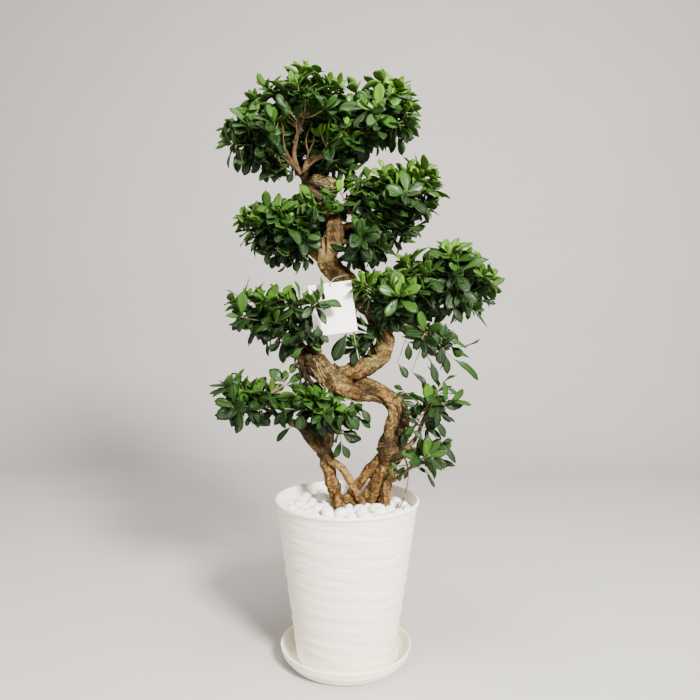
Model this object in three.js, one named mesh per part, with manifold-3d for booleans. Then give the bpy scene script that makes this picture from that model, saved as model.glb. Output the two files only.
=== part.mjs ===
// A Chinese banyan grown as two entwined stems with pads of foliage, in a tall white pot on a saucer.
// Millimetres, +Z up, seen from -Y. The origin is the middle of the saucer's underside.
import * as THREE from "three";
import { mergeVertices } from "three/addons/utils/BufferGeometryUtils.js";
import Module from "manifold-3d";

const wasm = await Module();
wasm.setup();
const { Manifold } = wasm;

// Driving dimensions
const GAP = 0.3; // between pieces that rest on each other
const SAUCER = { rim: 116, foot: 98, height: 29.5, wall: 2.8, floor: 3.5, sides: 30 };
const POT = { rim: 127.5, foot: 86, height: 284, wall: 3, floor: 4, lipHeight: 7, lipOver: 2, sides: 30 };
const RIBS = { count: 9, depth: 0.8 };
const DRAIN = { radius: 7, ring: 45, count: 4, sides: 6 };
const SOIL_TOP = 244;
const PEBBLE = { bed: 12, across: 27, top: 0.6, high: 14, sides: 5, rows: 4, spread: 1.42, tilt: 14 };
const BARK = { lump: 0.07, sides: 7, boughSides: 5, rootSides: 3, clear: 0.45 };
const TWIG = { stalkEnd: 3, foot: 1.5, tip: 1.2, sides: 3, steps: 2, heart: 0.85 };
const LEAF = { thick: 0.75, fold: 0.14, arch: 0.14, small: 0.85, spare: 1.2 };
const WHORL = { leaves: 5, hub: 4.2, seat: 1.5, bud: 5, upright: 46, flat: 84, nudge: 0.12, tries: 6 };
const TAG = { width: 74, height: 87, thick: 0.8, hole: 1.8, holeDrop: 5, sides: 8 };
const TAG_AT = { x: -27, y: -32, z: 621, roll: 8, yaw: 5 };
const WIRE = { radius: 0.8, sides: 5, steps: 22, lift: 0.8 };
const LOOP = { x: -9, y: 10, z: 674, radius: 19.5, slant: 44, points: 7, from: 30, to: 320 }; // round the stem

const GOLDEN = Math.PI * (3 - Math.sqrt(5)); // the turn from one leaf to the next
const POT_BASE = SAUCER.floor + GAP;

// The stems, each a run of centre points with the stem's radius: [x, y, z, radius]
const STEMS = {
  leftLeg: [[-12, 6, 226, 11], [-15, 6, 266, 11.5], [-20, 8, 287, 11], [-34, 10, 335, 12],
    [-42, 12, 366, 15.5], [-55, 12, 385, 15.5], [-71, 10, 402, 13], [-87, 8, 413, 9.5]],
  leftFork: [[-44, 12, 362, 14], [-36, 10, 391, 12], [-31, 8, 411, 9]],
  crossRoot: [[-38, 4, 362, 9], [-29, 0, 352, 7.5], [-8, -8, 340, 6.5], [7, -8, 315, 6.7], [18, 2, 289, 8],
    [28, 14, 266, 9], [34, 19, 230, 8]],
  backRoot: [[65, 14, 363, 9], [42, 17, 338, 8.3], [26, 22, 314, 8.3], [12, 26, 293, 8.5], [-4, 30, 266, 9],
    [-10, 32, 230, 8]],
  sideRoot: [[-18, 4, 268, 7], [-4, 2, 284, 9], [9, 6, 286, 8], [20, 10, 270, 7]],
  frontRoot: [[-17, 4, 290, 9], [-15, -8, 276, 11], [-18, -18, 262, 9.5], [-20, -24, 240, 7]],
  thickLeg: [[87, 12, 367, 16], [69, 14, 336, 15.2], [54, 18, 307, 14.4], [41, 26, 279, 14.5],
    [30, 33, 236, 12]],
  rightLeg: [[82, 12, 338, 9], [71, 6, 309, 9], [68, 5, 282, 9.4], [66, 5, 260, 9.8], [65, 5, 228, 8.5]],
  innerStem: [[82, 6, 356, 14.5], [73, 2, 385, 12], [74, 0, 408, 10.8], [80, -2, 430, 10.6],
    [81, -3, 448, 11.4], [68, -5, 464, 12.3], [49, -6, 471, 12.6], [26, -8, 473, 13.6],
    [3, -10, 479, 15.5], [-20, -10, 491, 17.5], [-41, -8, 508, 19.5], [-58, -4, 527, 21], [-73, 0, 546, 15.5]],
  outerStem: [[89, 16, 358, 15.3], [94, 20, 387, 14.4], [98, 22, 408, 13.5], [99, 20, 430, 12.6],
    [91, 18, 452, 11.8], [71, 16, 468, 11.6], [46, 15, 483, 11], [21, 14, 493, 11], [-6, 10, 503, 12],
    [-29, 2, 512, 13]],
  riser: [[-36, 4, 505, 12], [-15, 4, 508, 13.8], [8, 4, 511, 16], [31, 5, 521, 18], [52, 8, 535, 17.6],
    [66, 10, 560, 15.8], [62, 12, 581, 15.1], [50, 12, 600, 14.5], [38, 12, 618, 13.8], [23, 12, 636, 14.2],
    [7, 12, 655, 15], [-9, 10, 674, 16.8], [-27, 8, 690, 19.5], [-39, 6, 707, 18.5], [-45, 5, 726, 16.3],
    [-45, 5, 744, 13]],
  upper: [[-38, 0, 708, 12], [-30, -4, 729, 13], [-26, -5, 747, 15], [-27, -4, 765, 15.3],
    [-32, -2, 782, 13.3], [-43, 2, 798, 12.2], [-56, 4, 813, 12.4], [-66, 5, 827, 14], [-71, 5, 842, 12]],
  burl: [[71, 9, 396, 13], [72, 8, 385, 18.5], [74, 8, 372, 20.5], [73, 10, 357, 17.5]],
  crownStump: [[-76, 6, 838, 13], [-59, 4, 840, 15], [-42, 1, 838, 14.3], [-22, -2, 835, 11.5]],
};

// The hanging roots, thin and bare
const AERIAL_ROOTS = {
  potRoot: [[96, 8, 366, 2.2], [104, 2, 352, 1.6], [107, -4, 323, 1.3], [101, -4, 291, 1.2],
    [90, -6, 262, 1.2]],
  midRoot: [[20, 0, 640, 1.8], [12, -6, 612, 1.3], [10, -6, 578, 1.2], [19, -4, 534, 1.4], [22, 0, 522, 1.6]],
};

// The pads of foliage. branch is the bough that carries a pad, centre and reach the ellipsoid that its shoot
// tips lie on, low the lowest of them as a share of the height, rise how much the shoots turn up, leaf
// [length, width], and tips the further shoots that are placed one by one.
const PADS = {
  crownLeft: {
    branch: [[-74, 5, 838, 10], [-82, 5, 850, 7.6], [-95, 4, 866, 6], [-110, 2, 882, 4.6], [-124, 0, 892, 4]],
    centre: [-150, -4, 910], reach: [56, 55, 42], shoots: 5, low: -0.45, rise: 0.4, leaf: [45, 24],
    tips: [],
  },
  crownTop: {
    branch: [[-84, 5, 852, 7], [-95, 4, 872, 5.4], [-98, 2, 890, 4.6], [-95, -2, 912, 4]],
    centre: [-78, -12, 956], reach: [56, 50, 46], shoots: 5, low: -0.3, rise: 0.5, leaf: [46, 24],
    tips: [],
  },
  crownRight: {
    branch: [[-76, 5, 842, 9], [-80, 5, 860, 7.3], [-69, 5, 880, 6], [-44, 4, 894, 5], [-18, 3, 908, 4.4],
      [8, 0, 918, 4]],
    centre: [44, -2, 946], reach: [62, 56, 46], shoots: 5, low: -0.4, rise: 0.4, leaf: [47, 25],
    tips: [],
  },
  crownLow: {
    branch: [[-72, 6, 874, 5], [-58, -8, 880, 4.2], [-44, -20, 884, 3.8]],
    centre: [-26, -14, 900], reach: [48, 46, 30], shoots: 2, low: -0.5, rise: 0.2, leaf: [44, 23],
    tips: [],
  },
  crownBack: {
    branch: [[-82, 8, 858, 5.5], [-72, 22, 876, 4.6], [-58, 38, 892, 4]],
    centre: [-36, 62, 930], reach: [72, 34, 40], shoots: 3, low: -0.2, rise: 0.4, leaf: [45, 24],
    tips: [],
  },
  secondLeft: {
    branch: [[-47, 5, 706, 8], [-62, 3, 714, 6], [-76, 1, 730, 5], [-90, 0, 742, 4.2]],
    centre: [-124, -2, 756], reach: [56, 54, 42], shoots: 5, low: -0.5, rise: 0.3, leaf: [44, 23],
    tips: [],
  },
  secondRight: {
    branch: [[-28, 2, 760, 9], [-8, 3, 764, 7], [15, 4, 772, 5.5], [34, 4, 784, 4.4]],
    centre: [76, 0, 808], reach: [60, 58, 38], shoots: 5, low: -0.4, rise: 0.4, leaf: [46, 24],
    tips: [],
  },
  secondLow: {
    branch: [[-28, 0, 740, 8], [-12, -2, 738, 5.5], [4, -4, 738, 4.4]],
    centre: [34, -6, 742], reach: [48, 52, 36], shoots: 3, low: -0.5, rise: 0.1, leaf: [46, 23],
    tips: [],
  },
  secondFront: {
    branch: [[-34, -6, 782, 5], [-40, -20, 784, 3.2]],
    centre: [-56, -38, 800], reach: [26, 18, 14], shoots: 1, low: 0, rise: 0.4, leaf: [42, 21],
    tips: [],
  },
  thirdLeft: {
    branch: [[-72, 0, 548, 11], [-92, 2, 559, 9], [-109, 4, 569, 7], [-120, 4, 578, 5]],
    centre: [-138, -4, 604], reach: [64, 54, 36], shoots: 5, low: -0.4, rise: 0.4, leaf: [45, 23],
    tips: [[-48, -48, 632]],
  },
  thirdRight: {
    branch: [[64, 10, 566, 10], [76, 8, 590, 8], [92, 5, 612, 6.4], [110, 2, 632, 5.2], [124, 0, 648, 4.4]],
    centre: [167, 0, 677], reach: [66, 58, 42], shoots: 5, low: -0.35, rise: 0.4, leaf: [46, 25],
    tips: [],
  },
  thirdMiddle: {
    branch: [[52, 10, 600, 8], [62, -2, 610, 5], [72, -10, 618, 4.2]],
    centre: [86, -22, 644], reach: [50, 44, 34], shoots: 3, low: -0.3, rise: 0.4, leaf: [45, 23],
    tips: [[30, -34, 662]],
  },
  thirdHanging: {
    branch: [[106, 2, 628, 5], [118, 2, 616, 4.4], [128, 0, 602, 4]],
    centre: [152, -2, 568], reach: [40, 38, 28], shoots: 3, low: -0.8, rise: -0.5, leaf: [50, 21],
    tips: [],
  },
  fourthLeft: {
    branch: [[-86, 8, 412, 9.6], [-106, 6, 423, 6.4], [-124, 4, 432, 4.8]],
    centre: [-174, -2, 458], reach: [50, 46, 30], shoots: 4, low: -0.4, rise: 0.3, leaf: [46, 23],
    tips: [],
  },
  fourthMiddle: {
    branch: [[-31, 8, 408, 9], [-31, 2, 422, 6], [-36, -6, 432, 4.6]],
    centre: [-58, -18, 448], reach: [54, 44, 26], shoots: 4, low: -0.5, rise: 0.2, leaf: [46, 23],
    tips: [[-10, -46, 410]],
  },
  fifthUpper: {
    branch: [[92, 10, 366, 8], [104, 6, 372, 6], [114, 4, 384, 5], [124, 2, 400, 4.2], [130, 0, 418, 4]],
    centre: [144, 0, 458], reach: [46, 42, 34], shoots: 4, low: -0.4, rise: 0.2, leaf: [46, 20],
    tips: [],
  },
  fifthLower: {
    branch: [[76, 4, 316, 5], [88, -12, 326, 3.6], [98, -18, 336, 3.2]],
    centre: [134, -14, 364], reach: [38, 24, 26], shoots: 3, low: -0.6, rise: 0, leaf: [44, 18],
    tips: [],
  },
};

const FINISH = {
  glaze: { color: 0xf1efe9, roughness: 0.45, metalness: 0 },
  soil: { color: 0x3a2b1f, roughness: 0.95, metalness: 0 },
  marble: { color: 0xf4f3ef, roughness: 0.6, metalness: 0 },
  bark: { color: 0x9c7a52, roughness: 0.85, metalness: 0 },
  foliage: { color: 0x2f6b24, roughness: 0.4, metalness: 0 },
  card: { color: 0xfaf7f2, roughness: 0.7, metalness: 0 },
  wire: { color: 0x6f6a4e, roughness: 0.6, metalness: 0 },
};

// A closed three.js geometry as a solid that can be joined and cut
function solidOf(geometry) {
  const flat = geometry.clone();
  for (const extra of ["normal", "uv"]) flat.deleteAttribute(extra);
  const merged = mergeVertices(flat, 1e-4);
  return new Manifold(new wasm.Mesh({
    numProp: 3,
    vertProperties: merged.attributes.position.array,
    triVerts: new Uint32Array(merged.index.array),
  }));
}

// A solid as a named three.js mesh
function meshOf(name, solid, finish) {
  const { vertProperties, triVerts } = solid.getMesh();
  const geometry = new THREE.BufferGeometry();
  geometry.setAttribute("position", new THREE.BufferAttribute(vertProperties, 3));
  geometry.setIndex(new THREE.BufferAttribute(triVerts, 1));
  geometry.computeVertexNormals();
  const mesh = new THREE.Mesh(geometry, new THREE.MeshStandardMaterial(FINISH[finish]));
  mesh.name = name;
  return mesh;
}

// Random draws from 0 to 1 that are the same each time for one seed
function dice(seed) {
  const range = 4294967296;
  let state = (seed * 2654435761) % range;
  const roll = () => {
    state = (state * 1664525 + 1013904223) % range;
    return state / range;
  };
  roll();
  roll();
  return roll;
}

const vector = (point) => new THREE.Vector3(point[0], point[1], point[2]);

// Moves each vertex of a geometry to where place(vertex) puts it
function moveVertices(geometry, place) {
  const at = geometry.attributes.position;
  const vertex = new THREE.Vector3();
  for (let i = 0; i < at.count; i++) {
    vertex.fromBufferAttribute(at, i);
    place(vertex);
    at.setXYZ(i, vertex.x, vertex.y, vertex.z);
  }
  return geometry;
}

// A round limb: a cylinder bent along its centre points, as thick at each as the fourth number says. grow makes
// it fatter and longer all round, and lump makes its girth uneven.
function limb(points, { sides = 8, steps = Math.round(points.length * 0.66) + 1, grow = 0, lump = 0 } = {}) {
  const path = new THREE.CatmullRomCurve3(points.map(vector), false, "centripetal");
  const frames = path.computeFrenetFrames(steps, false);
  const bent = moveVertices(new THREE.CylinderGeometry(1, 1, 1, sides, steps), (v) => {
    const step = Math.round((v.y + 0.5) * steps);
    const along = path.getUtoTmapping(step / steps) * (points.length - 1);
    const from = Math.min(Math.floor(along), points.length - 2);
    const girth = THREE.MathUtils.lerp(points[from][3], points[from + 1][3], along - from);
    const turn = Math.atan2(v.x, v.z);
    const uneven = 1 + lump * (Math.sin(turn * 3 + step * 1.9) + Math.sin(turn * 2 - step * 2.7 + girth));
    const radius = Math.hypot(v.x, v.z) * (girth * uneven + grow);
    const ends = step === 0 ? -grow : step === steps ? grow : 0;
    const { tangents, normals, binormals } = frames;
    v.copy(path.getPointAt(step / steps))
      .addScaledVector(normals[step], radius * Math.sin(turn))
      .addScaledVector(binormals[step], -radius * Math.cos(turn))
      .addScaledVector(tangents[step], ends);
  });
  return solidOf(bent);
}

// A turned shell from its profile of [radius, height] pairs
function turned(profile, sides) {
  return solidOf(new THREE.LatheGeometry(profile.map(([r, h]) => new THREE.Vector2(r, h)), sides))
    .rotate([90, 0, 0]);
}

function saucer() {
  const { rim, foot, height, wall, floor, sides } = SAUCER;
  const step = height * 0.52; // the wall turns a little steeper above this line
  return turned([[0, 0], [foot, 0], [foot + 4, 2], [rim - 5, step], [rim - 4, step + 1.5], [rim, height - 1],
    [rim - 1, height], [rim - wall, height], [rim - wall - 5, step], [foot, floor + 1], [foot - 3, floor],
    [0, floor]], sides);
}

// The pot wall's outer radius at a height above the pot's underside, without its ribs
const potRadius = (h) => THREE.MathUtils.lerp(POT.foot, POT.rim - POT.lipOver, h / POT.height);

function pot() {
  const { rim, height, wall, floor, lipHeight, lipOver, sides } = POT;
  const ribbed = Array.from({ length: RIBS.count }, (_, i) => {
    const h = THREE.MathUtils.lerp(6, height - lipHeight - 5, i / (RIBS.count - 1));
    return [potRadius(h) + (i % 2 ? RIBS.depth : -RIBS.depth), h];
  });
  const lip = [[rim - lipOver, height - lipHeight], [rim, height - lipHeight + 1.5], [rim, height - 2],
    [rim - 1.5, height], [rim - 5, height], [rim - lipOver - wall - 1.5, height - 3]];
  const inside = [[potRadius(floor) - wall, floor], [0, floor]];
  const shell = turned([[0, 0], [POT.foot - 2, 0], ...ribbed, ...lip, ...inside], sides);
  const drains = Array.from({ length: DRAIN.count }, (_, i) => {
    const turn = ((i + 0.5) / DRAIN.count) * 2 * Math.PI;
    return solidOf(new THREE.CylinderGeometry(DRAIN.radius, DRAIN.radius, 4 * floor, DRAIN.sides))
      .rotate([90, 0, 0])
      .translate([DRAIN.ring * Math.cos(turn), DRAIN.ring * Math.sin(turn), 0]);
  });
  return shell.subtract(Manifold.union(drains)).translate([0, 0, POT_BASE]);
}

// A plug that fills the pot's inside, from one height above the ground to another
function potFilling(low, high) {
  const inner = (z) => {
    const h = z - POT_BASE;
    const slope = (h - POT.floor) / (POT.height - 3 - POT.floor);
    const top = POT.rim - POT.lipOver - POT.wall - 1.5;
    return THREE.MathUtils.lerp(potRadius(POT.floor) - POT.wall, top, slope) - GAP;
  };
  return turned([[0, low], [inner(low), low], [inner(high), high], [0, high]], POT.sides);
}

const soil = () => potFilling(POT_BASE + POT.floor + GAP, SOIL_TOP);

// Rings of pebbles, each a blunt stone of few sides, sunk in a bed of gravel
function pebbles() {
  const bedTop = SOIL_TOP + GAP + PEBBLE.bed;
  const bed = potFilling(SOIL_TOP + GAP, bedTop);
  const roll = dice(7);
  const stones = [];
  const edge = potRadius(SOIL_TOP) - POT.wall - PEBBLE.across / 2 - 2;
  for (let row = 0; row < PEBBLE.rows; row++) {
    const ring = edge * (1 - row / PEBBLE.rows);
    const count = Math.floor((2 * Math.PI * ring) / (PEBBLE.across * PEBBLE.spread));
    for (let i = 0; i < count; i++) {
      const turn = ((i + 0.2 * roll()) / count) * 2 * Math.PI + row;
      const out = ring - 3 * roll();
      const size = (PEBBLE.across / 2) * (0.85 + 0.2 * roll());
      stones.push(solidOf(new THREE.CylinderGeometry(PEBBLE.top, 1, 1, PEBBLE.sides))
        .rotate([90, 0, 360 * roll()])
        .scale([size, size * (0.7 + 0.25 * roll()), PEBBLE.high])
        .rotate([PEBBLE.tilt * (roll() - 0.5), PEBBLE.tilt * (roll() - 0.5), 360 * roll()])
        .translate([out * Math.cos(turn), out * Math.sin(turn), bedTop + 3 * roll()]));
    }
  }
  return Manifold.union([bed, ...stones]);
}

// The wood: both stems with their roots and boughs, grown into one
function trunk(grow = 0) {
  const stems = Object.values(STEMS).map((points) => limb(points, { sides: BARK.sides, grow, lump: BARK.lump }));
  const boughs = Object.values(PADS).map(({ branch }) => limb(branch, { sides: BARK.boughSides, grow }));
  const roots = Object.values(AERIAL_ROOTS).map((points) => limb(points, { sides: BARK.rootSides, grow }));
  return Manifold.union([...stems, ...boughs, ...roots]);
}

// The stalk that a pad's twigs spring from: it goes on from the end of the bough to near the pad's middle
function stalkOf({ branch, centre }) {
  const from = vector(branch.at(-1));
  return { from, to: from.clone().lerp(vector(centre), TWIG.heart), radius: branch.at(-1)[3] * 0.95 };
}

const runOf = (points, options) => limb(points.map(([at, radius]) => [at.x, at.y, at.z, radius]), options);

// The shoots of a pad, each with the points of its twig and the way it looks. A pad's tips are spread over an
// ellipsoid by the golden angle.
function shootsOf(pad, padIndex) {
  const centre = vector(pad.centre);
  const reach = vector(pad.reach);
  const stalk = stalkOf(pad);
  const spots = [];
  for (let i = 0; i < pad.shoots; i++) {
    const roll = dice(padIndex * 100 + i + 1);
    const height = 1 - ((i + 0.5) / pad.shoots) * (1 - pad.low);
    const turn = i * GOLDEN + padIndex * 1.7 + 0.5 * roll();
    const around = Math.sqrt(1 - height * height);
    const out = new THREE.Vector3(around * Math.cos(turn), around * Math.sin(turn), height);
    const tip = out.clone().multiply(reach).multiplyScalar(0.98 + 0.12 * roll()).add(centre);
    spots.push({ tip, out, roll });
  }
  pad.tips.forEach((point, i) => {
    const tip = vector(point);
    spots.push({ tip, out: tip.clone().sub(stalk.to).normalize(), roll: dice(padIndex * 100 + 50 + i) });
  });
  const length = stalk.from.distanceTo(stalk.to);
  return spots.map(({ tip, out, roll }) => {
    const along = tip.clone().sub(stalk.from).dot(stalk.to.clone().sub(stalk.from)) / (length * length);
    const share = THREE.MathUtils.clamp(along * 0.7 - 0.1 + 0.1 * roll(), 0.05, 0.97);
    const root = stalk.from.clone().lerp(stalk.to, share);
    const run = tip.clone().sub(root);
    const axis = out.clone().multiplyScalar(0.7).addScaledVector(run.clone().normalize(), 0.5)
      .add(new THREE.Vector3(0, 0, pad.rise)).normalize();
    const bend = root.clone().addScaledVector(run, 0.5).addScaledVector(axis, -0.14 * run.length());
    return { root, bend, tip, axis, roll };
  });
}

// A twig up to the middle of its leaves' own thickness, or as far past its tip as is asked
function twig({ root, bend, tip, axis }, past = WHORL.seat) {
  const end = tip.clone().addScaledVector(axis, past);
  return runOf([[root, TWIG.foot], [bend, (TWIG.foot + TWIG.tip) / 2], [end, TWIG.tip]],
    { sides: TWIG.sides, steps: TWIG.steps });
}

// The leaves round a shoot's tip, evenly set and each spread in its own way, for a turn of them all round it
function leavesOf({ tip, axis, roll }, { leaf: [longest, widest] }) {
  const side = new THREE.Vector3(axis.y, -axis.x, 0.3).cross(axis).normalize();
  const start = roll() * 2 * Math.PI;
  const drawn = Array.from({ length: WHORL.leaves }, () => [roll(), roll(), roll(), roll()]);
  return (turn) => drawn.map(([nudge, open, big, broad], i) => {
    const sector = (2 * Math.PI) / WHORL.leaves;
    const azimuth = start + turn + (i + WHORL.nudge * (nudge - 0.5)) * sector;
    const notch = start + turn + (i + 0.5) * sector;
    const spread = THREE.MathUtils.degToRad(THREE.MathUtils.lerp(WHORL.upright, WHORL.flat, open));
    const away = side.clone().applyAxisAngle(axis, azimuth);
    const ahead = axis.clone().multiplyScalar(Math.cos(spread)).addScaledVector(away, Math.sin(spread));
    const facing = axis.clone().addScaledVector(ahead, -axis.dot(ahead)).normalize();
    const size = THREE.MathUtils.lerp(LEAF.small, 1.08, big);
    const width = widest * size * THREE.MathUtils.lerp(0.88, 1.08, broad);
    return { tip, axis, side, azimuth, notch, ahead, facing, length: longest * size, width };
  });
}

// The outline of one leaf from its right side over its tip to its left: how far along, and how far across
const LEAF_EDGE = [[0.34, -0.64], [0.7, -0.97], [1, 0], [0.7, 0.97], [0.34, 0.64]];

// Leaves as one thin blade: a star with a leaf on each ray that is kept, cut out flat and then bent, so that each
// leaf rises as it should, folds up along its midrib and arches over
function whorl(leaves, kept, thick) {
  const corners = leaves.flatMap((leaf) => {
    const { tip, axis, side, azimuth, notch, ahead, facing, length, width } = leaf;
    const across = new THREE.Vector3().crossVectors(facing, ahead);
    const rim = LEAF_EDGE.map(([along, edge]) => {
      const y = (edge * width) / 2;
      const lift = LEAF.fold * Math.abs(y) * 2 - LEAF.arch * along * along * length;
      const flat = new THREE.Vector2(along * length, y).rotateAround(new THREE.Vector2(), azimuth);
      const at = tip.clone().addScaledVector(ahead, along * length).addScaledVector(across, y)
        .addScaledVector(facing, lift);
      return { flat, at, up: facing };
    });
    const hub = {
      flat: new THREE.Vector2(WHORL.hub, 0).rotateAround(new THREE.Vector2(), notch),
      at: side.clone().applyAxisAngle(axis, notch).multiplyScalar(WHORL.hub).addScaledVector(axis, WHORL.seat)
        .add(tip),
      up: axis,
    };
    return kept.includes(leaf) ? [...rim, hub] : [hub];
  });
  const star = new THREE.ExtrudeGeometry(new THREE.Shape(corners.map(({ flat }) => flat)),
    { depth: thick, bevelEnabled: false });
  return solidOf(moveVertices(star, (v) => {
    const { at, up } = corners.find(({ flat }) => Math.hypot(flat.x - v.x, flat.y - v.y) < 1e-4);
    const lift = v.z - thick / 2;
    v.copy(at).addScaledVector(up, lift);
  }));
}

const boxesMeet = (a, b) => [0, 1, 2].every((k) => a.min[k] < b.max[k] && b.min[k] < a.max[k]);

// All the pads: the stalk and twigs of each, then at each shoot's tip the leaves that clear every other twig,
// leaf and piece, turned to where the most of them do
function foliage(others) {
  const boxed = (solid, owner) => ({ solid, box: solid.boundingBox(), owner });
  const standing = others.map((solid) => boxed(solid));
  const pads = Object.entries(PADS).map(([name, pad], padIndex) => {
    const { from, to, radius } = stalkOf(pad);
    const stalk = runOf([[from, radius], [to, TWIG.stalkEnd]], { sides: 4, steps: 1 });
    const shoots = shootsOf(pad, padIndex).map((shoot) => ({ ...shoot, solid: twig(shoot) }));
    standing.push(boxed(stalk, name), ...shoots.map((shoot) => boxed(shoot.solid, shoot)));
    return { name, pad, stalk, shoots };
  });
  const sector = (2 * Math.PI) / WHORL.leaves;
  const clears = (leaves, leaf, shoot) => {
    const fat = whorl(leaves, [leaf], LEAF.thick + LEAF.spare);
    const box = fat.boundingBox();
    return !standing.some((other) => other.owner !== shoot && boxesMeet(box, other.box) &&
      !fat.intersect(other.solid).isEmpty());
  };
  for (const { pad, shoots } of pads)
    for (const shoot of shoots) {
      const leavesAt = leavesOf(shoot, pad);
      let best = { kept: [] };
      for (let i = 0; i < WHORL.tries && best.kept.length < WHORL.leaves; i++) {
        const leaves = leavesAt((i / WHORL.tries) * sector);
        const kept = leaves.filter((leaf) => clears(leaves, leaf, shoot));
        if (kept.length > best.kept.length) best = { leaves, kept };
      }
      if (!best.kept.length) continue;
      shoot.whorl = whorl(best.leaves, best.kept, LEAF.thick);
      // A star that lacks a leaf isn't level at its middle, so its twig goes right through it
      if (best.kept.length < WHORL.leaves) shoot.solid = twig(shoot, WHORL.bud);
      standing.push(boxed(shoot.whorl, shoot));
    }
  return pads.map(({ name, stalk, shoots }) => {
    const leafy = shoots.filter((shoot) => shoot.whorl);
    return { name, solid: Manifold.union([stalk, ...leafy.flatMap((shoot) => [shoot.solid, shoot.whorl])]) };
  });
}

// The largest body of a solid, without the scraps that a cut leaves
const largest = (solid) => solid.decompose().reduce((a, b) => (a.volume() > b.volume() ? a : b));

function tag(hung) {
  const { width, height, thick, hole, holeDrop, sides } = TAG;
  const card = solidOf(new THREE.BoxGeometry(width, thick, height));
  const punch = solidOf(new THREE.CylinderGeometry(hole, hole, 4 * thick, sides))
    .translate([0, 0, height / 2 - holeDrop]);
  return hung(card.subtract(punch));
}

// Turns a piece made round the tag's own middle to where the tag hangs
const hangTag = (solid) => solid
  .rotate([0, -TAG_AT.roll, 0])
  .rotate([0, 0, TAG_AT.yaw])
  .translate([TAG_AT.x, TAG_AT.y, TAG_AT.z]);

// The wire runs forward through the tag's hole and once round the stem above it
function tagWire() {
  const { radius, sides, steps } = WIRE;
  const slant = THREE.MathUtils.degToRad(LOOP.slant);
  const hole = new THREE.Vector3(0, 0, TAG.height / 2 - TAG.holeDrop)
    .applyAxisAngle(new THREE.Vector3(0, 1, 0), THREE.MathUtils.degToRad(-TAG_AT.roll))
    .applyAxisAngle(new THREE.Vector3(0, 0, 1), THREE.MathUtils.degToRad(TAG_AT.yaw))
    .add(new THREE.Vector3(TAG_AT.x, TAG_AT.y, TAG_AT.z));
  const from = [[0, 7, -3], [0, 3, 0], [0, -3, 0], [2, -5, 5], [8, -2, 12]];
  const to = [6, 8, 2];
  const round = Array.from({ length: LOOP.points }, (_, i) => {
    const turn = THREE.MathUtils.degToRad(THREE.MathUtils.lerp(LOOP.from, LOOP.to, i / (LOOP.points - 1)));
    const up = LOOP.radius * Math.sin(turn);
    const front = LOOP.radius * Math.cos(turn);
    return [LOOP.x + up * Math.cos(slant), LOOP.y - front, LOOP.z + up * Math.sin(slant)];
  });
  const near = ([x, y, z]) => [hole.x + x, hole.y + y, hole.z + z + WIRE.lift]; // the card hangs on the wire
  const points = [...from.map(near), ...round, near(to)];
  return limb(points.map((point) => [...point, radius]), { sides, steps });
}

const wood = trunk();
const woodRoom = trunk(BARK.clear);
const card = tag(hangTag);
const wire = tagWire();
const stones = pebbles().subtract(woodRoom);
const potShell = pot();
const pads = foliage([wood, card, wire, potShell, stones]);

const banyan = new THREE.Group();
banyan.add(meshOf("saucer", saucer(), "glaze"));
banyan.add(meshOf("pot", potShell, "glaze"));
banyan.add(meshOf("soil", soil().subtract(woodRoom), "soil"));
banyan.add(meshOf("pebbles", largest(stones), "marble"));
banyan.add(meshOf("trunk", wood, "bark"));
for (const { name, solid } of pads)
  banyan.add(meshOf(`leaves_${name}`, largest(solid.subtract(woodRoom)), "foliage"));
banyan.add(meshOf("tag", card, "card"));
banyan.add(meshOf("tag_wire", wire, "wire"));

export default banyan;
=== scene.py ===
# A potted Chinese banyan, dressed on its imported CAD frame. Lengths in the tables are in millimetres.
import math

import bmesh
import bpy
from mathutils import Matrix, Vector, kdtree, noise
from mathutils.bvhtree import BVHTree


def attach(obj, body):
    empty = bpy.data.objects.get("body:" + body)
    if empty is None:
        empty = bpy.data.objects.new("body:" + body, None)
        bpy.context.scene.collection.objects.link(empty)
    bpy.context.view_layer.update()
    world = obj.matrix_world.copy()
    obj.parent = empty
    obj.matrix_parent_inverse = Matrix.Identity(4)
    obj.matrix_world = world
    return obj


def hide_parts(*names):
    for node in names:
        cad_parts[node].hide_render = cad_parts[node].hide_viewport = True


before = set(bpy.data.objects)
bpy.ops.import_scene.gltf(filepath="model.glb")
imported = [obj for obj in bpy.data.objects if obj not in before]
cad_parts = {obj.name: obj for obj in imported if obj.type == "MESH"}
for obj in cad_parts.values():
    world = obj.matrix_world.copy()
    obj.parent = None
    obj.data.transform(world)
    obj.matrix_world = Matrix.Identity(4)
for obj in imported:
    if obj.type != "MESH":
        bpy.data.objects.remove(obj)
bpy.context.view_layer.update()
mm = 0.001
up = Vector((0, 0, 1))
fullTurn = 2 * math.pi
anyTurn = 6.3  # a little over a full turn, for random headings
golden = math.pi * (3 - math.sqrt(5))


# The camera stands where the photographer did, a little above the tree's middle. Angles are in degrees
camera = {"place": (0.0027, -1.1522, 0.5950), "down": 2.285, "roll": 0.524, "lens": 33.72, "sensor": 36,
    "near": 0.01, "far": 50}


def standCamera():
    eye = bpy.data.objects.new("camera", bpy.data.cameras.new("camera"))
    eye.data.lens = camera["lens"]
    eye.data.sensor_width = camera["sensor"]
    eye.data.clip_start = camera["near"]
    eye.data.clip_end = camera["far"]
    tilt = Matrix.Rotation(math.radians(90 - camera["down"]), 4, "X")
    roll = Matrix.Rotation(math.radians(camera["roll"]), 4, "Z")
    eye.matrix_world = Matrix.Translation(camera["place"]) @ tilt @ roll
    bpy.context.scene.collection.objects.link(eye)
    bpy.context.scene.camera = eye


standCamera()


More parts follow.
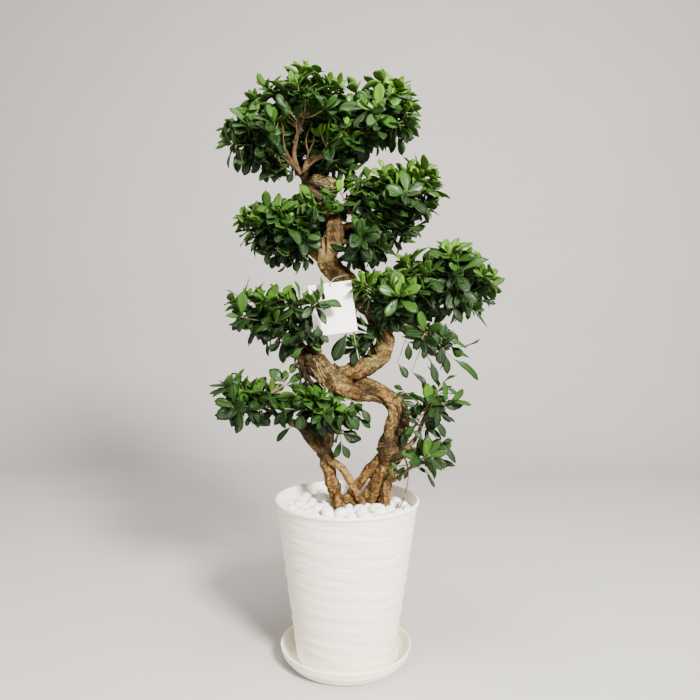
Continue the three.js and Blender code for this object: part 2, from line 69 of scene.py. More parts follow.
# Shader maths as plain Python: a Signal is a node's output that the usual operators work on
class Signal:
    def __init__(self, paint, socket):
        self.paint = paint
        self.socket = socket

    def maths(self, operation, *values):
        return self.paint.node("ShaderNodeMath", {"operation": operation}, dict(enumerate(values)))

    def __add__(self, other):
        return self.maths("ADD", self, other)

    def __radd__(self, other):
        return self.maths("ADD", other, self)

    def __sub__(self, other):
        return self.maths("SUBTRACT", self, other)

    def __rsub__(self, other):
        return self.maths("SUBTRACT", other, self)

    def __mul__(self, other):
        return self.maths("MULTIPLY", self, other)

    def __rmul__(self, other):
        return self.maths("MULTIPLY", other, self)

    def __truediv__(self, other):
        return self.maths("DIVIDE", self, other)

    def __abs__(self):
        return self.maths("ABSOLUTE", self)

    def wave(self):
        return self.maths("SINE", self)

    def fraction(self):
        return self.maths("FRACT", self)

    def over(self, other):  # the larger of the two
        return self.maths("MAXIMUM", self, other)

    def between(self, low, high):  # 0 at low and 1 at high, eased
        values = {"Value": self, "From Min": low, "From Max": high}
        return self.paint.node("ShaderNodeMapRange", {"interpolation_type": "SMOOTHSTEP"}, values)


class Paint:  # a material and the nodes that colour it
    def __init__(self, name, **fixed):
        self.material = bpy.data.materials.new(name)
        self.material.use_nodes = True
        self.tree = self.material.node_tree
        self.shader = self.tree.nodes["Principled BSDF"]
        for socket, value in fixed.items():
            self.shader.inputs[socket.replace("_", " ")].default_value = value

    def feed(self, socket, value):
        if isinstance(value, Signal):
            self.tree.links.new(value.socket, socket)
        elif hasattr(socket.default_value, "__len__") and len(socket.default_value) == 4 and len(value) == 3:
            socket.default_value = (*value, 1)
        else:
            socket.default_value = value

    def node(self, kind, settings=None, values=None, out=0):
        made = self.tree.nodes.new(kind)
        for name, setting in (settings or {}).items():
            if name == "stops":
                ramp = made.color_ramp
                ramp.elements[0].position = setting[0][0]
                ramp.elements[-1].position = setting[-1][0]
                for place, colour in setting[1:-1]:
                    ramp.elements.new(place)
                for element, (place, colour) in zip(ramp.elements, setting):
                    element.color = (*colour, 1)
            else:
                setattr(made, name, setting)
        for name, value in (values or {}).items():
            self.feed(made.inputs[name], value)
        return Signal(self, made.outputs[out])

    def place(self, stretch=(1, 1, 1), at=None):  # where a pattern reads, on the object unless it is told
        at = at or self.node("ShaderNodeTexCoord", out="Object")
        return self.node("ShaderNodeMapping", {}, {"Vector": at, "Scale": stretch})

    def axis(self, number, at=None):  # 0 for x, 1 for y and 2 for z
        return self.node("ShaderNodeSeparateXYZ", {}, {"Vector": at or self.place()}, number)

    def distance(self, place):
        values = {0: self.place(), 1: place}
        return self.node("ShaderNodeVectorMath", {"operation": "DISTANCE"}, values, 1)

    def noise(self, scale, detail=2, rough=0.5, at=None, warp=0):
        values = {"Scale": scale, "Detail": detail, "Roughness": rough, "Distortion": warp}
        return self.node("ShaderNodeTexNoise", {}, {**values, "Vector": at or self.place()})

    def cells(self, scale, at=None, out="Distance"):
        return self.node("ShaderNodeTexVoronoi", {}, {"Scale": scale, "Vector": at or self.place()}, out)

    def ramp(self, value, stops):
        return self.node("ShaderNodeValToRGB", {"stops": stops}, {"Fac": value})

    def blend(self, share, low, high):
        settings = {"data_type": "RGBA", "clamp_factor": True}
        return self.node("ShaderNodeMix", settings, {0: share, 6: low, 7: high}, 2)

    def layered(self, colour, *layers):  # further colours over one, each with its share
        for share, tint in layers:
            colour = self.blend(share, colour, tint)
        return colour

    def parts(self, colour):  # a colour's three numbers
        split = self.node("ShaderNodeSeparateColor", {}, {"Color": colour})
        return [Signal(self, socket) for socket in split.socket.node.outputs]

    def marks(self, attribute):  # an attribute's three numbers
        return self.parts(self.node("ShaderNodeAttribute", {"attribute_name": attribute}, out="Color"))

    def finish(self, bump=None, distance=0.001, strength=1, **fed):
        for socket, value in fed.items():
            self.feed(self.shader.inputs[socket.replace("_", " ")], value)
        if bump:
            values = {"Height": bump, "Distance": distance, "Strength": strength}
            self.feed(self.shader.inputs["Normal"], self.node("ShaderNodeBump", {}, values))
        return self.material


# Random draws from 0 to 1, the same each time for one seed and the same as the CAD model's
def dice(seed):
    state = (seed * 2654435761) % 4294967296

    def roll():
        nonlocal state
        state = (state * 1664525 + 1013904223) % 4294967296
        return state / 4294967296

    roll()
    roll()
    return roll


def mix(low, high, share):
    return low + (high - low) * share


def eased(value, low, high):
    share = min(1, max(0, (value - low) / (high - low)))
    return share * share * (3 - 2 * share)


def addObject(name, data):
    piece = bpy.data.objects.new(name, data)
    bpy.context.scene.collection.objects.link(piece)
    return piece


# A bmesh made into a mesh, which ends the bmesh
def meshOf(name, bm):
    mesh = bpy.data.meshes.new(name)
    bm.to_mesh(mesh)
    bm.free()
    return mesh


# Turns a bmesh into a piece of the model that rides on the frame
def pieceOf(name, bm, materials, nodes):
    mesh = meshOf(name, bm)
    for material in materials:
        mesh.materials.append(material)
    piece = addObject(name, mesh)
    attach(piece, "root")
    if nodes:
        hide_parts(*nodes)
    return piece


# The mesh of an object with its modifiers applied
def appliedMesh(piece):
    bpy.context.view_layer.update()
    return bpy.data.meshes.new_from_object(piece.evaluated_get(bpy.context.evaluated_depsgraph_get()))


# The same, where the object itself isn't wanted any more
def spentMesh(piece):
    mesh = appliedMesh(piece)
    bpy.data.objects.remove(piece)
    return mesh


# Cuts a bmesh's shape out of a piece
def cut(piece, bm):
    punch = addObject("punch", meshOf("punch", bm))
    boolean = piece.modifiers.new("cut", "BOOLEAN")
    boolean.object = punch
    boolean.operation = "DIFFERENCE"
    boolean.solver = "EXACT"
    done = appliedMesh(piece)
    piece.modifiers.clear()
    piece.data = done
    bpy.data.objects.remove(punch)


def shadeSmooth(bm):
    for face in bm.faces:
        face.smooth = True


def vertsOf(geometry):
    return [item for item in geometry if isinstance(item, bmesh.types.BMVert)]


# A tree of points that finds those nearest to a place
def treeOf(points):
    tree = kdtree.KDTree(len(points))
    for i, point in enumerate(points):
        tree.insert(point, i)
    tree.balance()
    return tree


# A centripetal curve through centre points, cut into short steps, with the radius along it
def centreLine(points, step):
    knots = [Vector(point) for point in points]
    knots = [knots[0] * 2 - knots[1], *knots, knots[-1] * 2 - knots[-2]]
    run = []
    for a, b, c, d in zip(knots, knots[1:], knots[2:], knots[3:]):
        gaps = [math.sqrt((q.xyz - p.xyz).length) or 1 for p, q in ((a, b), (b, c), (c, d))]
        enter = ((b - a) / gaps[0] - (c - a) / (gaps[0] + gaps[1]) + (c - b) / gaps[1]) * gaps[1]
        leave = ((c - b) / gaps[1] - (d - b) / (gaps[1] + gaps[2]) + (d - c) / gaps[2]) * gaps[1]
        second = c * 3 - b * 3 - enter * 2 - leave
        third = b * 2 - c * 2 + enter + leave
        count = max(1, round((c.xyz - b.xyz).length / step))
        for i in range(count):
            t = i / count
            at = b + enter * t + second * t * t + third * t ** 3
            at[3] = mix(b[3], c[3], t)
            run.append(at)
    return [*run, Vector(points[-1])]


# How far along a run each of its points is
def lengthsOf(run):
    total, lengths = 0, [0]
    for before, after in zip(run, run[1:]):
        total += (after.xyz - before.xyz).length
        lengths.append(total)
    return lengths


# Each point of a run with the direction there and how far along it is
def stepsOf(run):
    for before, point, after, reached in zip([run[0], *run], run, [*run[1:], run[-1]], lengthsOf(run)):
        yield point, (after.xyz - before.xyz).normalized(), reached


# A thin run of points that strays a little from its line and swells a little at its joints
def wobbled(run, stray):
    done = []
    for i, point in enumerate(run):
        share = math.sin(math.pi * i / (len(run) - 1))
        drift = Vector((noise.noise(point.xyz / 16), noise.noise(point.xyz / 16 + up * 9), 0)) * stray * share
        done.append((*(point.xyz + drift), point.w * (1 + 0.18 * noise.noise(point.xyz / 5))))
    return done


# Round tubes along runs of [x, y, z, radius] in millimetres, as one mesh
def tubes(runs, roundness):
    data = bpy.data.curves.new("tubes", "CURVE")
    data.dimensions = "3D"
    data.bevel_depth = mm
    data.bevel_resolution = roundness
    data.use_fill_caps = True
    for run in runs:
        spline = data.splines.new("POLY")
        spline.points.add(len(run) - 1)
        for point, (x, y, z, radius) in zip(spline.points, run):
            point.co = (x * mm, y * mm, z * mm, 1)
            point.radius = radius
    return spentMesh(addObject("tubes", data))


# A turned shell: a closed profile of [radius, height] spun round the upright axis
def spun(profile, steps):
    bm = bmesh.new()
    corners = [bm.verts.new((radius * mm, 0, height * mm)) for radius, height in profile]
    edges = [bm.edges.new(pair) for pair in zip(corners, corners[1:])]
    bmesh.ops.spin(bm, geom=[*corners, *edges], cent=(0, 0, 0), axis=up, dvec=(0, 0, 0), angle=fullTurn,
        steps=steps, use_merge=True, use_duplicate=False)
    bmesh.ops.remove_doubles(bm, verts=bm.verts, dist=1e-6)
    bmesh.ops.recalc_face_normals(bm, faces=bm.faces)
    shadeSmooth(bm)
    return bm


# Fills in a profile so that no step of it is longer than asked
def finer(profile, longest):
    run = [profile[0]]
    for (r1, h1), (r2, h2) in zip(profile, profile[1:]):
        count = max(1, math.ceil(math.hypot(r2 - r1, h2 - h1) / longest))
        run += [(mix(r1, r2, i / count), mix(h1, h2, i / count)) for i in range(1, count + 1)]
    return run


# The pot: a tall tapered shell with soft, uneven ribs like a thrown pot, and a rounded lip
pot = {"rim": 127.5, "foot": 86, "height": 284, "base": 3.8, "wall": 3, "floor": 4, "lip": 7, "lipOver": 2,
    "ribDepth": 0.8, "ribGap": 12, "ridgeDepth": 0.95, "ridgeGap": 8, "slant": 9, "sides": 112,
    "drains": 4, "drainRing": 45, "drainRadius": 7, "drainDepth": 20,
    "white": (0.93, 0.885, 0.77), "cream": (0.89, 0.835, 0.7), "band": (0.83, 0.765, 0.63),
    "dust": (0.62, 0.57, 0.47)}


def potRadius(height):
    return mix(pot["foot"], pot["rim"] - pot["lipOver"], height / pot["height"])


def potFinish():
    paint = Paint("potPlastic", Coat_Weight=0.08, Coat_Roughness=0.35)
    bands = paint.noise(6, 3, 0.5, paint.place((0.6, 0.6, 7)))
    dust = paint.noise(160, 3, 0.7)
    colour = paint.layered(paint.blend(paint.noise(7, 4, 0.6), pot["white"], pot["cream"]),
        (bands.between(0.45, 0.75) * 0.3, pot["band"]), (dust.between(0.62, 0.8) * 0.14, pot["dust"]))
    rough = 0.42 + 0.16 * bands + 0.1 * dust
    grit = paint.noise(420, 2, 0.6) * 0.4 + paint.noise(90, 3, 0.5) * 0.6
    return paint.finish(Base_Color=colour, Roughness=rough, bump=grit, distance=0.0004, strength=0.5)


# How far the ribs push the pot's wall out, at a turn round it and a height
def ribAt(turn, z):
    level = z + pot["slant"] * math.sin(turn + 0.7)
    level = level + 2.6 * math.sin(2 * turn + 1.9) + 1.2 * math.sin(3 * turn)
    around = Vector((math.cos(turn), math.sin(turn), 0))
    swell = noise.noise(around * 0.9 + up * (level / pot["ribGap"]))
    wander = 9 * noise.noise(around * 1.4)
    ridge = 1 - 2 * abs(noise.noise(around * 2.1 + up * (9 + (level + wander) / pot["ridgeGap"])))
    neck = pot["height"] - pot["lip"]
    fade = eased(z, 1, 14) * (1 - eased(z, neck - 9, neck))
    ridges = pot["ridgeDepth"] * (ridge - 0.6) * mix(0.35, 1, eased(z, 60, 190))
    return (pot["ribDepth"] * 2 * swell + ridges) * fade


def makePot():
    rim, foot, height, wall, floor = (pot[key] for key in ("rim", "foot", "height", "wall", "floor"))
    neck = height - pot["lip"]
    outside = finer([(0, 0), (foot - 3, 0)], 12)
    outside += finer([(foot - 0.8, 0.9), (potRadius(4), 4), (potRadius(neck - 1), neck - 1)], 1.5)
    edge = [(rim - 1.2, neck + 0.2), (rim - 0.3, neck + 1.2), (rim, neck + 2.4), (rim, height - 2.4),
        (rim - 0.4, height - 1), (rim - 1.4, height - 0.15), (rim - 2.6, height), (rim - 3.9, height - 0.3),
        (rim - 4.9, height - 1.4), (rim - pot["lipOver"] - wall - 0.9, height - 4)]
    inside = finer([edge[-1], (potRadius(floor) - wall, floor), (0, floor)], 14)
    bm = spun(outside + edge + inside[1:], pot["sides"])
    for vert in bm.verts:
        x, y, z = vert.co / mm
        radius = math.hypot(x, y)
        if radius > 1 and radius > potRadius(z) - 1.6 and z > 0.5:  # on the wall's outside
            push = ribAt(math.atan2(y, x), z)
            vert.co.x += push * mm * x / radius
            vert.co.y += push * mm * y / radius
        vert.co.z += pot["base"] * mm
    piece = pieceOf("whitePot", bm, [potFinish()], [])
    punches = bmesh.new()
    ring, size = pot["drainRing"] * mm, pot["drainRadius"] * mm
    for i in range(pot["drains"]):
        turn = (i + 0.5) / pot["drains"] * fullTurn
        middle = Matrix.Translation((ring * math.cos(turn), ring * math.sin(turn), 0.006))
        bmesh.ops.create_cone(punches, cap_ends=True, segments=24, radius1=size, radius2=size,
            depth=pot["drainDepth"] * mm, matrix=middle)
    cut(piece, punches)
    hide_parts("pot")
    return piece


# The saucer, with the slight step half way up its wall
saucer = {"rim": 116, "foot": 98, "height": 29.5, "wall": 2.8, "floor": 3.5, "step": 0.52, "sides": 112,
    "white": (0.95, 0.9, 0.79), "cream": (0.91, 0.845, 0.71), "stain": (0.66, 0.58, 0.44)}


def saucerFinish():
    paint = Paint("saucerPlastic", Coat_Weight=0.15, Coat_Roughness=0.25)
    stain = paint.noise(10, 5, 0.65, paint.place((1, 1, 2.5)), 0.6)
    colour = paint.layered(paint.blend(paint.noise(14, 3), saucer["white"], saucer["cream"]),
        (stain.between(0.6, 0.8) * 0.25, saucer["stain"]))
    grit = paint.noise(300, 2)
    rough = 0.3 + 0.2 * stain
    return paint.finish(Base_Color=colour, Roughness=rough, bump=grit, distance=0.0003, strength=0.4)


def makeSaucer():
    rim, foot, height, wall, floor = (saucer[key] for key in ("rim", "foot", "height", "wall", "floor"))
    step = height * saucer["step"]
    outside = [(0, 0), (foot - 30, 0), (foot - 2, 0), (foot - 0.6, 0.3), (foot + 1.2, 1), (foot + 4, 3),
        (rim - 7.2, step - 2.8), (rim - 6.5, step - 0.9), (rim - 6.1, step - 0.2), (rim - 3.9, step),
        (rim - 3.5, step + 0.4), (rim - 3.2, step + 1.6), (rim - 0.5, height - 3), (rim, height - 1.4),
        (rim - 0.35, height - 0.4), (rim - 1.1, height), (rim - wall + 0.4, height - 0.1),
        (rim - wall - 0.2, height - 1)]
    inside = [(rim - wall - 4.2, step + 2), (rim - wall - 5, step), (rim - wall - 6.4, step - 2),
        (foot + 1.5, floor + 1.8), (foot - 1, floor + 0.3), (foot - 4, floor), (foot - 40, floor), (0, floor)]
    bm = spun(outside + inside, saucer["sides"])
    return pieceOf("saucerDish", bm, [saucerFinish()], ["saucer"])


# The potting mix keeps its CAD solid, under the stones
mixTones = ((0, (0.03, 0.018, 0.01)), (0.55, (0.09, 0.055, 0.03)), (0.9, (0.18, 0.12, 0.07)),
    (1, (0.5, 0.48, 0.42)))


def soilFinish():
    paint = Paint("pottingMix", Roughness=0.95)
    crumb = paint.cells(260)
    shade = paint.parts(paint.cells(120, out="Color"))[0]
    colour = paint.blend(paint.noise(30, 4), paint.ramp(shade, mixTones), (0.05, 0.032, 0.02))
    return paint.finish(Base_Color=colour, bump=crumb, distance=0.002, strength=0.8)


# The pebbles: rounded white stones of all sizes over a bed of finer ones, in two layers
pebble = {"largest": 14.5, "smallest": 6.5, "vary": (0.85, 1.1), "flat": (0.62, 0.86), "wide": (0.72, 0.96),
    "throws": 6500, "first": 0.6, "apart": 0.86, "offWood": 0.72, "heap": 12.5, "heapVary": (0.8, 1.1),
    "bedLow": 244.3, "bed": 254, "bedLump": 1.4, "tilt": 0.5,
    "white": (0.96, 0.95, 0.91), "grey": (0.88, 0.865, 0.82), "warm": (0.84, 0.79, 0.69),
    "vein": (0.66, 0.66, 0.66)}


def pebbleFinish():
    paint = Paint("marblePebble", Coat_Weight=0.05, Coat_Roughness=0.4, Subsurface_Weight=0.08,
        Subsurface_Scale=0.003, Subsurface_Radius=(1, 0.9, 0.8))
    own, warm, _ = paint.marks("stone")
    vein = paint.noise(55, 5, 0.65, warp=1.6)
    colour = paint.layered(paint.blend(own, pebble["white"], pebble["grey"]),
        (warm.between(0.75, 1) * 0.4, pebble["warm"]),
        ((1 - abs(vein - 0.5) * 14).between(0, 1) * 0.12, pebble["vein"]))
    grit = paint.noise(900, 2) * 0.4 + paint.noise(240, 4, 0.7) * 0.6
    rough = 0.5 + 0.25 * vein
    return paint.finish(Base_Color=colour, Roughness=rough, bump=grit, distance=0.0005, strength=0.45)


# The bed's slab, anew in its lists so that what is added to it comes last in them
def pebbleBed(edge):
    low, high = pebble["bedLow"], pebble["bed"]
    profile = finer([(0, high), (edge, high)], 9) + finer([(edge, low), (0, low)], 30)
    bm = bmesh.new()
    bm.from_mesh(meshOf("bed", spun(profile, 48)))
    for vert in bm.verts:
        if vert.co.z > (high - 2) * mm and vert.co.xy.length < (edge - 1) * mm:
            vert.co.z += pebble["bedLump"] * mm * noise.noise(vert.co * 160)
    return bm


def stoneSeed():
    stone = bmesh.new()
    stone.loops.layers.float_color.new("stone")
    bmesh.ops.create_icosphere(stone, subdivisions=2, radius=1)
    shadeSmooth(stone)
    return meshOf("stoneSeed", stone)


def makePebbles(wood):
    roll = dice(77)
    edge = potRadius(pebble["bed"] - pot["base"]) - pot["wall"] - 0.8
    bm = pebbleBed(edge)
    mark = bm.loops.layers.float_color.new("stone")
    seed = stoneSeed()
    laid = []
    for i in range(pebble["throws"]):
        layer = int(i > pebble["throws"] * pebble["first"])
        share = (i / pebble["throws"] * 1.7) % 1
        size = mix(pebble["largest"], pebble["smallest"], share) * mix(*pebble["vary"], roll())
        out = (edge - size * 0.92) * math.sqrt(roll())
        turn = fullTurn * roll()
        flat = mix(*pebble["flat"], roll())
        spot = Vector((out * math.cos(turn), out * math.sin(turn), 0))
        near = (reach for other, reach, above in laid
            if above == layer and (spot - other).length < (size + reach) * pebble["apart"])
        if any(near):
            continue
        spot.z = pebble["bed"] + size * flat * 0.3 + layer * pebble["heap"] * mix(*pebble["heapVary"], roll())
        if wood.find_nearest(spot * mm, size * pebble["offWood"] * mm)[0]:
            continue
        laid.append((Vector((spot.x, spot.y, 0)), size * 0.92, layer))
        start = len(bm.verts)
        bm.from_mesh(seed)
        bm.verts.ensure_lookup_table()
        turned = Matrix.Rotation(anyTurn * roll(), 3, "Z")
        for axis in "XY":
            turned = turned @ Matrix.Rotation(pebble["tilt"] * (roll() - 0.5), 3, axis)
        wide, drift = mix(*pebble["wide"], roll()), Vector((roll(), roll(), roll())) * 50
        tone = (roll(), roll(), 0, 1)
        for vert in bm.verts[start:]:
            lump = 1 + 0.24 * noise.noise(vert.co * 1.1 + drift) + 0.09 * noise.noise(vert.co * 2.6 + drift)
            shape = Vector((vert.co.x, vert.co.y * wide, vert.co.z * flat)) * size * lump
            vert.co = (turned @ shape + spot) * mm
            for loop in vert.link_loops:
                loop[mark] = tone
    print("pebbles laid", len(laid))
    return pieceOf("whitePebbles", bm, [pebbleFinish()], ["pebbles"])


# The stems and hanging roots as centre points with their radius, [x, y, z, radius], as in the CAD source
stems = {
    "leftLeg": [[-12, 6, 226, 11], [-15, 6, 266, 11.5], [-20, 8, 287, 11], [-34, 10, 335, 12],
        [-42, 12, 366, 15.5], [-55, 12, 385, 15.5], [-71, 10, 402, 13], [-87, 8, 413, 9.5]],
    "leftFork": [[-44, 12, 362, 14], [-36, 10, 391, 12], [-31, 8, 411, 9]],
    "crossRoot": [[-38, 4, 362, 9], [-29, 0, 352, 7.5], [-8, -8, 340, 6.5], [7, -8, 315, 6.7],
        [18, 2, 289, 8], [28, 14, 266, 9], [34, 19, 230, 8]],
    "backRoot": [[65, 14, 363, 9], [42, 17, 338, 8.3], [26, 22, 314, 8.3], [12, 26, 293, 8.5],
        [-4, 30, 266, 9], [-10, 32, 230, 8]],
    "sideRoot": [[-18, 4, 268, 7], [-4, 2, 284, 9], [9, 6, 286, 8], [20, 10, 270, 7]],
    "frontRoot": [[-17, 4, 290, 9], [-15, -8, 276, 11], [-18, -18, 262, 9.5], [-20, -24, 240, 7]],
    "thickLeg": [[87, 12, 367, 16], [69, 14, 336, 15.2], [54, 18, 307, 14.4], [41, 26, 279, 14.5],
        [30, 33, 236, 12]],
    "rightLeg": [[82, 12, 338, 9], [71, 6, 309, 9], [68, 5, 282, 9.4], [66, 5, 260, 9.8],
        [65, 5, 228, 8.5]],
    "innerStem": [[82, 6, 356, 14.5], [73, 2, 385, 12], [74, 0, 408, 10.8], [80, -2, 430, 10.6],
        [81, -3, 448, 11.4], [68, -5, 464, 12.3], [49, -6, 471, 12.6], [26, -8, 473, 13.6],
        [3, -10, 479, 15.5], [-20, -10, 491, 17.5], [-41, -8, 508, 19.5], [-58, -4, 527, 21],
        [-73, 0, 546, 15.5]],
    "outerStem": [[89, 16, 358, 15.3], [94, 20, 387, 14.4], [98, 22, 408, 13.5], [99, 20, 430, 12.6],
        [91, 18, 452, 11.8], [71, 16, 468, 11.6], [46, 15, 483, 11], [21, 14, 493, 11], [-6, 10, 503, 12],
        [-29, 2, 512, 13]],
    "riser": [[-36, 4, 505, 12], [-15, 4, 508, 13.8], [8, 4, 511, 16], [31, 5, 521, 18], [52, 8, 535, 17.6],
        [66, 10, 560, 15.8], [62, 12, 581, 15.1], [50, 12, 600, 14.5], [38, 12, 618, 13.8],
        [23, 12, 636, 14.2], [7, 12, 655, 15], [-9, 10, 674, 16.8], [-27, 8, 690, 19.5],
        [-39, 6, 707, 18.5], [-45, 5, 726, 16.3], [-45, 5, 744, 13]],
    "upper": [[-38, 0, 708, 12], [-30, -4, 729, 13], [-26, -5, 747, 15], [-27, -4, 765, 15.3],
        [-32, -2, 782, 13.3], [-43, 2, 798, 12.2], [-56, 4, 813, 12.4], [-66, 5, 827, 14],
        [-71, 5, 842, 12]],
    "burl": [[71, 9, 396, 13], [72, 8, 385, 18.5], [74, 8, 372, 20.5], [73, 10, 357, 17.5]],
    "crownStump": [[-76, 6, 838, 13], [-59, 4, 840, 15], [-42, 1, 838, 14.3], [-22, -2, 835, 11.5]],
}

# The roots that hang free
hangingRoots = {
    "potRoot": [[96, 8, 366, 2.2], [104, 2, 352, 1.6], [107, -4, 323, 1.3], [101, -4, 291, 1.2],
        [90, -6, 262, 1.2]],
    "midRoot": [[20, 0, 640, 1.8], [12, -6, 612, 1.3], [10, -6, 578, 1.2], [19, -4, 534, 1.4],
        [22, 0, 522, 1.6]],
}

# The pads of leaves: the bough that bears each, its middle and reach, how many shoots it has and how low
# they go, from -1, how far they rise, a leaf's length and width, and further tips
pads = {
    "crownLeft": {"centre": [-150, -4, 910], "reach": [56, 55, 42], "shoots": 5, "low": -0.45, "rise": 0.4,
        "leaf": [45, 24],
        "branch": [[-74, 5, 838, 10], [-82, 5, 850, 7.6], [-95, 4, 866, 6], [-110, 2, 882, 4.6],
            [-124, 0, 892, 4]]},
    "crownTop": {"centre": [-78, -12, 956], "reach": [56, 50, 46], "shoots": 5, "low": -0.3, "rise": 0.5,
        "leaf": [46, 24],
        "branch": [[-84, 5, 852, 7], [-95, 4, 872, 5.4], [-98, 2, 890, 4.6], [-95, -2, 912, 4]]},
    "crownRight": {"centre": [44, -2, 946], "reach": [62, 56, 46], "shoots": 5, "low": -0.4, "rise": 0.4,
        "leaf": [47, 25],
        "branch": [[-76, 5, 842, 9], [-80, 5, 860, 7.3], [-69, 5, 880, 6], [-44, 4, 894, 5],
            [-18, 3, 908, 4.4], [8, 0, 918, 4]]},
    "crownLow": {"centre": [-26, -14, 900], "reach": [48, 46, 30], "shoots": 2, "low": -0.5, "rise": 0.2,
        "leaf": [44, 23],
        "branch": [[-72, 6, 874, 5], [-58, -8, 880, 4.2], [-44, -20, 884, 3.8]]},
    "crownBack": {"centre": [-36, 62, 930], "reach": [72, 34, 40], "shoots": 3, "low": -0.2, "rise": 0.4,
        "leaf": [45, 24],
        "branch": [[-82, 8, 858, 5.5], [-72, 22, 876, 4.6], [-58, 38, 892, 4]]},
    "secondLeft": {"centre": [-124, -2, 756], "reach": [56, 54, 42], "shoots": 5, "low": -0.5, "rise": 0.3,
        "leaf": [44, 23],
        "branch": [[-47, 5, 706, 8], [-62, 3, 714, 6], [-76, 1, 730, 5], [-90, 0, 742, 4.2]]},
    "secondRight": {"centre": [76, 0, 808], "reach": [60, 58, 38], "shoots": 5, "low": -0.4, "rise": 0.4,
        "leaf": [46, 24],
        "branch": [[-28, 2, 760, 9], [-8, 3, 764, 7], [15, 4, 772, 5.5], [34, 4, 784, 4.4]]},
    "secondLow": {"centre": [34, -6, 742], "reach": [48, 52, 36], "shoots": 3, "low": -0.5, "rise": 0.1,
        "leaf": [46, 23],
        "branch": [[-28, 0, 740, 8], [-12, -2, 738, 5.5], [4, -4, 738, 4.4]]},
    "secondFront": {"centre": [-56, -38, 800], "reach": [26, 18, 14], "shoots": 1, "low": 0, "rise": 0.4,
        "leaf": [42, 21],
        "branch": [[-34, -6, 782, 5], [-40, -20, 784, 3.2]]},
    "thirdLeft": {"centre": [-138, -4, 604], "reach": [64, 54, 36], "shoots": 5, "low": -0.4, "rise": 0.4,
        "leaf": [45, 23], "tips": [[-48, -48, 632]],
        "branch": [[-72, 0, 548, 11], [-92, 2, 559, 9], [-109, 4, 569, 7], [-120, 4, 578, 5]]},
    "thirdRight": {"centre": [167, 0, 677], "reach": [66, 58, 42], "shoots": 5, "low": -0.35, "rise": 0.4,
        "leaf": [46, 25],
        "branch": [[64, 10, 566, 10], [76, 8, 590, 8], [92, 5, 612, 6.4], [110, 2, 632, 5.2],
            [124, 0, 648, 4.4]]},
    "thirdMiddle": {"centre": [86, -22, 644], "reach": [50, 44, 34], "shoots": 3, "low": -0.3, "rise": 0.4,
        "leaf": [45, 23], "tips": [[30, -34, 662]],
        "branch": [[52, 10, 600, 8], [62, -2, 610, 5], [72, -10, 618, 4.2]]},
    "thirdHanging": {"centre": [152, -2, 568], "reach": [40, 38, 28], "shoots": 3, "low": -0.8,
        "rise": -0.5, "leaf": [50, 21],
        "branch": [[106, 2, 628, 5], [118, 2, 616, 4.4], [128, 0, 602, 4]]},
    "fourthLeft": {"centre": [-174, -2, 458], "reach": [50, 46, 30], "shoots": 4, "low": -0.4, "rise": 0.3,
        "leaf": [46, 23],
        "branch": [[-86, 8, 412, 9.6], [-106, 6, 423, 6.4], [-124, 4, 432, 4.8]]},
    "fourthMiddle": {"centre": [-58, -18, 448], "reach": [54, 44, 26], "shoots": 4, "low": -0.5,
        "rise": 0.2, "leaf": [46, 23], "tips": [[-10, -46, 410]],
        "branch": [[-31, 8, 408, 9], [-31, 2, 422, 6], [-36, -6, 432, 4.6]]},
    "fifthUpper": {"centre": [144, 0, 458], "reach": [46, 42, 34], "shoots": 4, "low": -0.4, "rise": 0.2,
        "leaf": [46, 20],
        "branch": [[92, 10, 366, 8], [104, 6, 372, 6], [114, 4, 384, 5], [124, 2, 400, 4.2],
            [130, 0, 418, 4]]},
    "fifthLower": {"centre": [134, -14, 364], "reach": [38, 24, 26], "shoots": 3, "low": -0.6, "rise": 0,
        "leaf": [44, 18],
        "branch": [[76, 4, 316, 5], [88, -12, 326, 3.6], [98, -18, 336, 3.2]]},
}

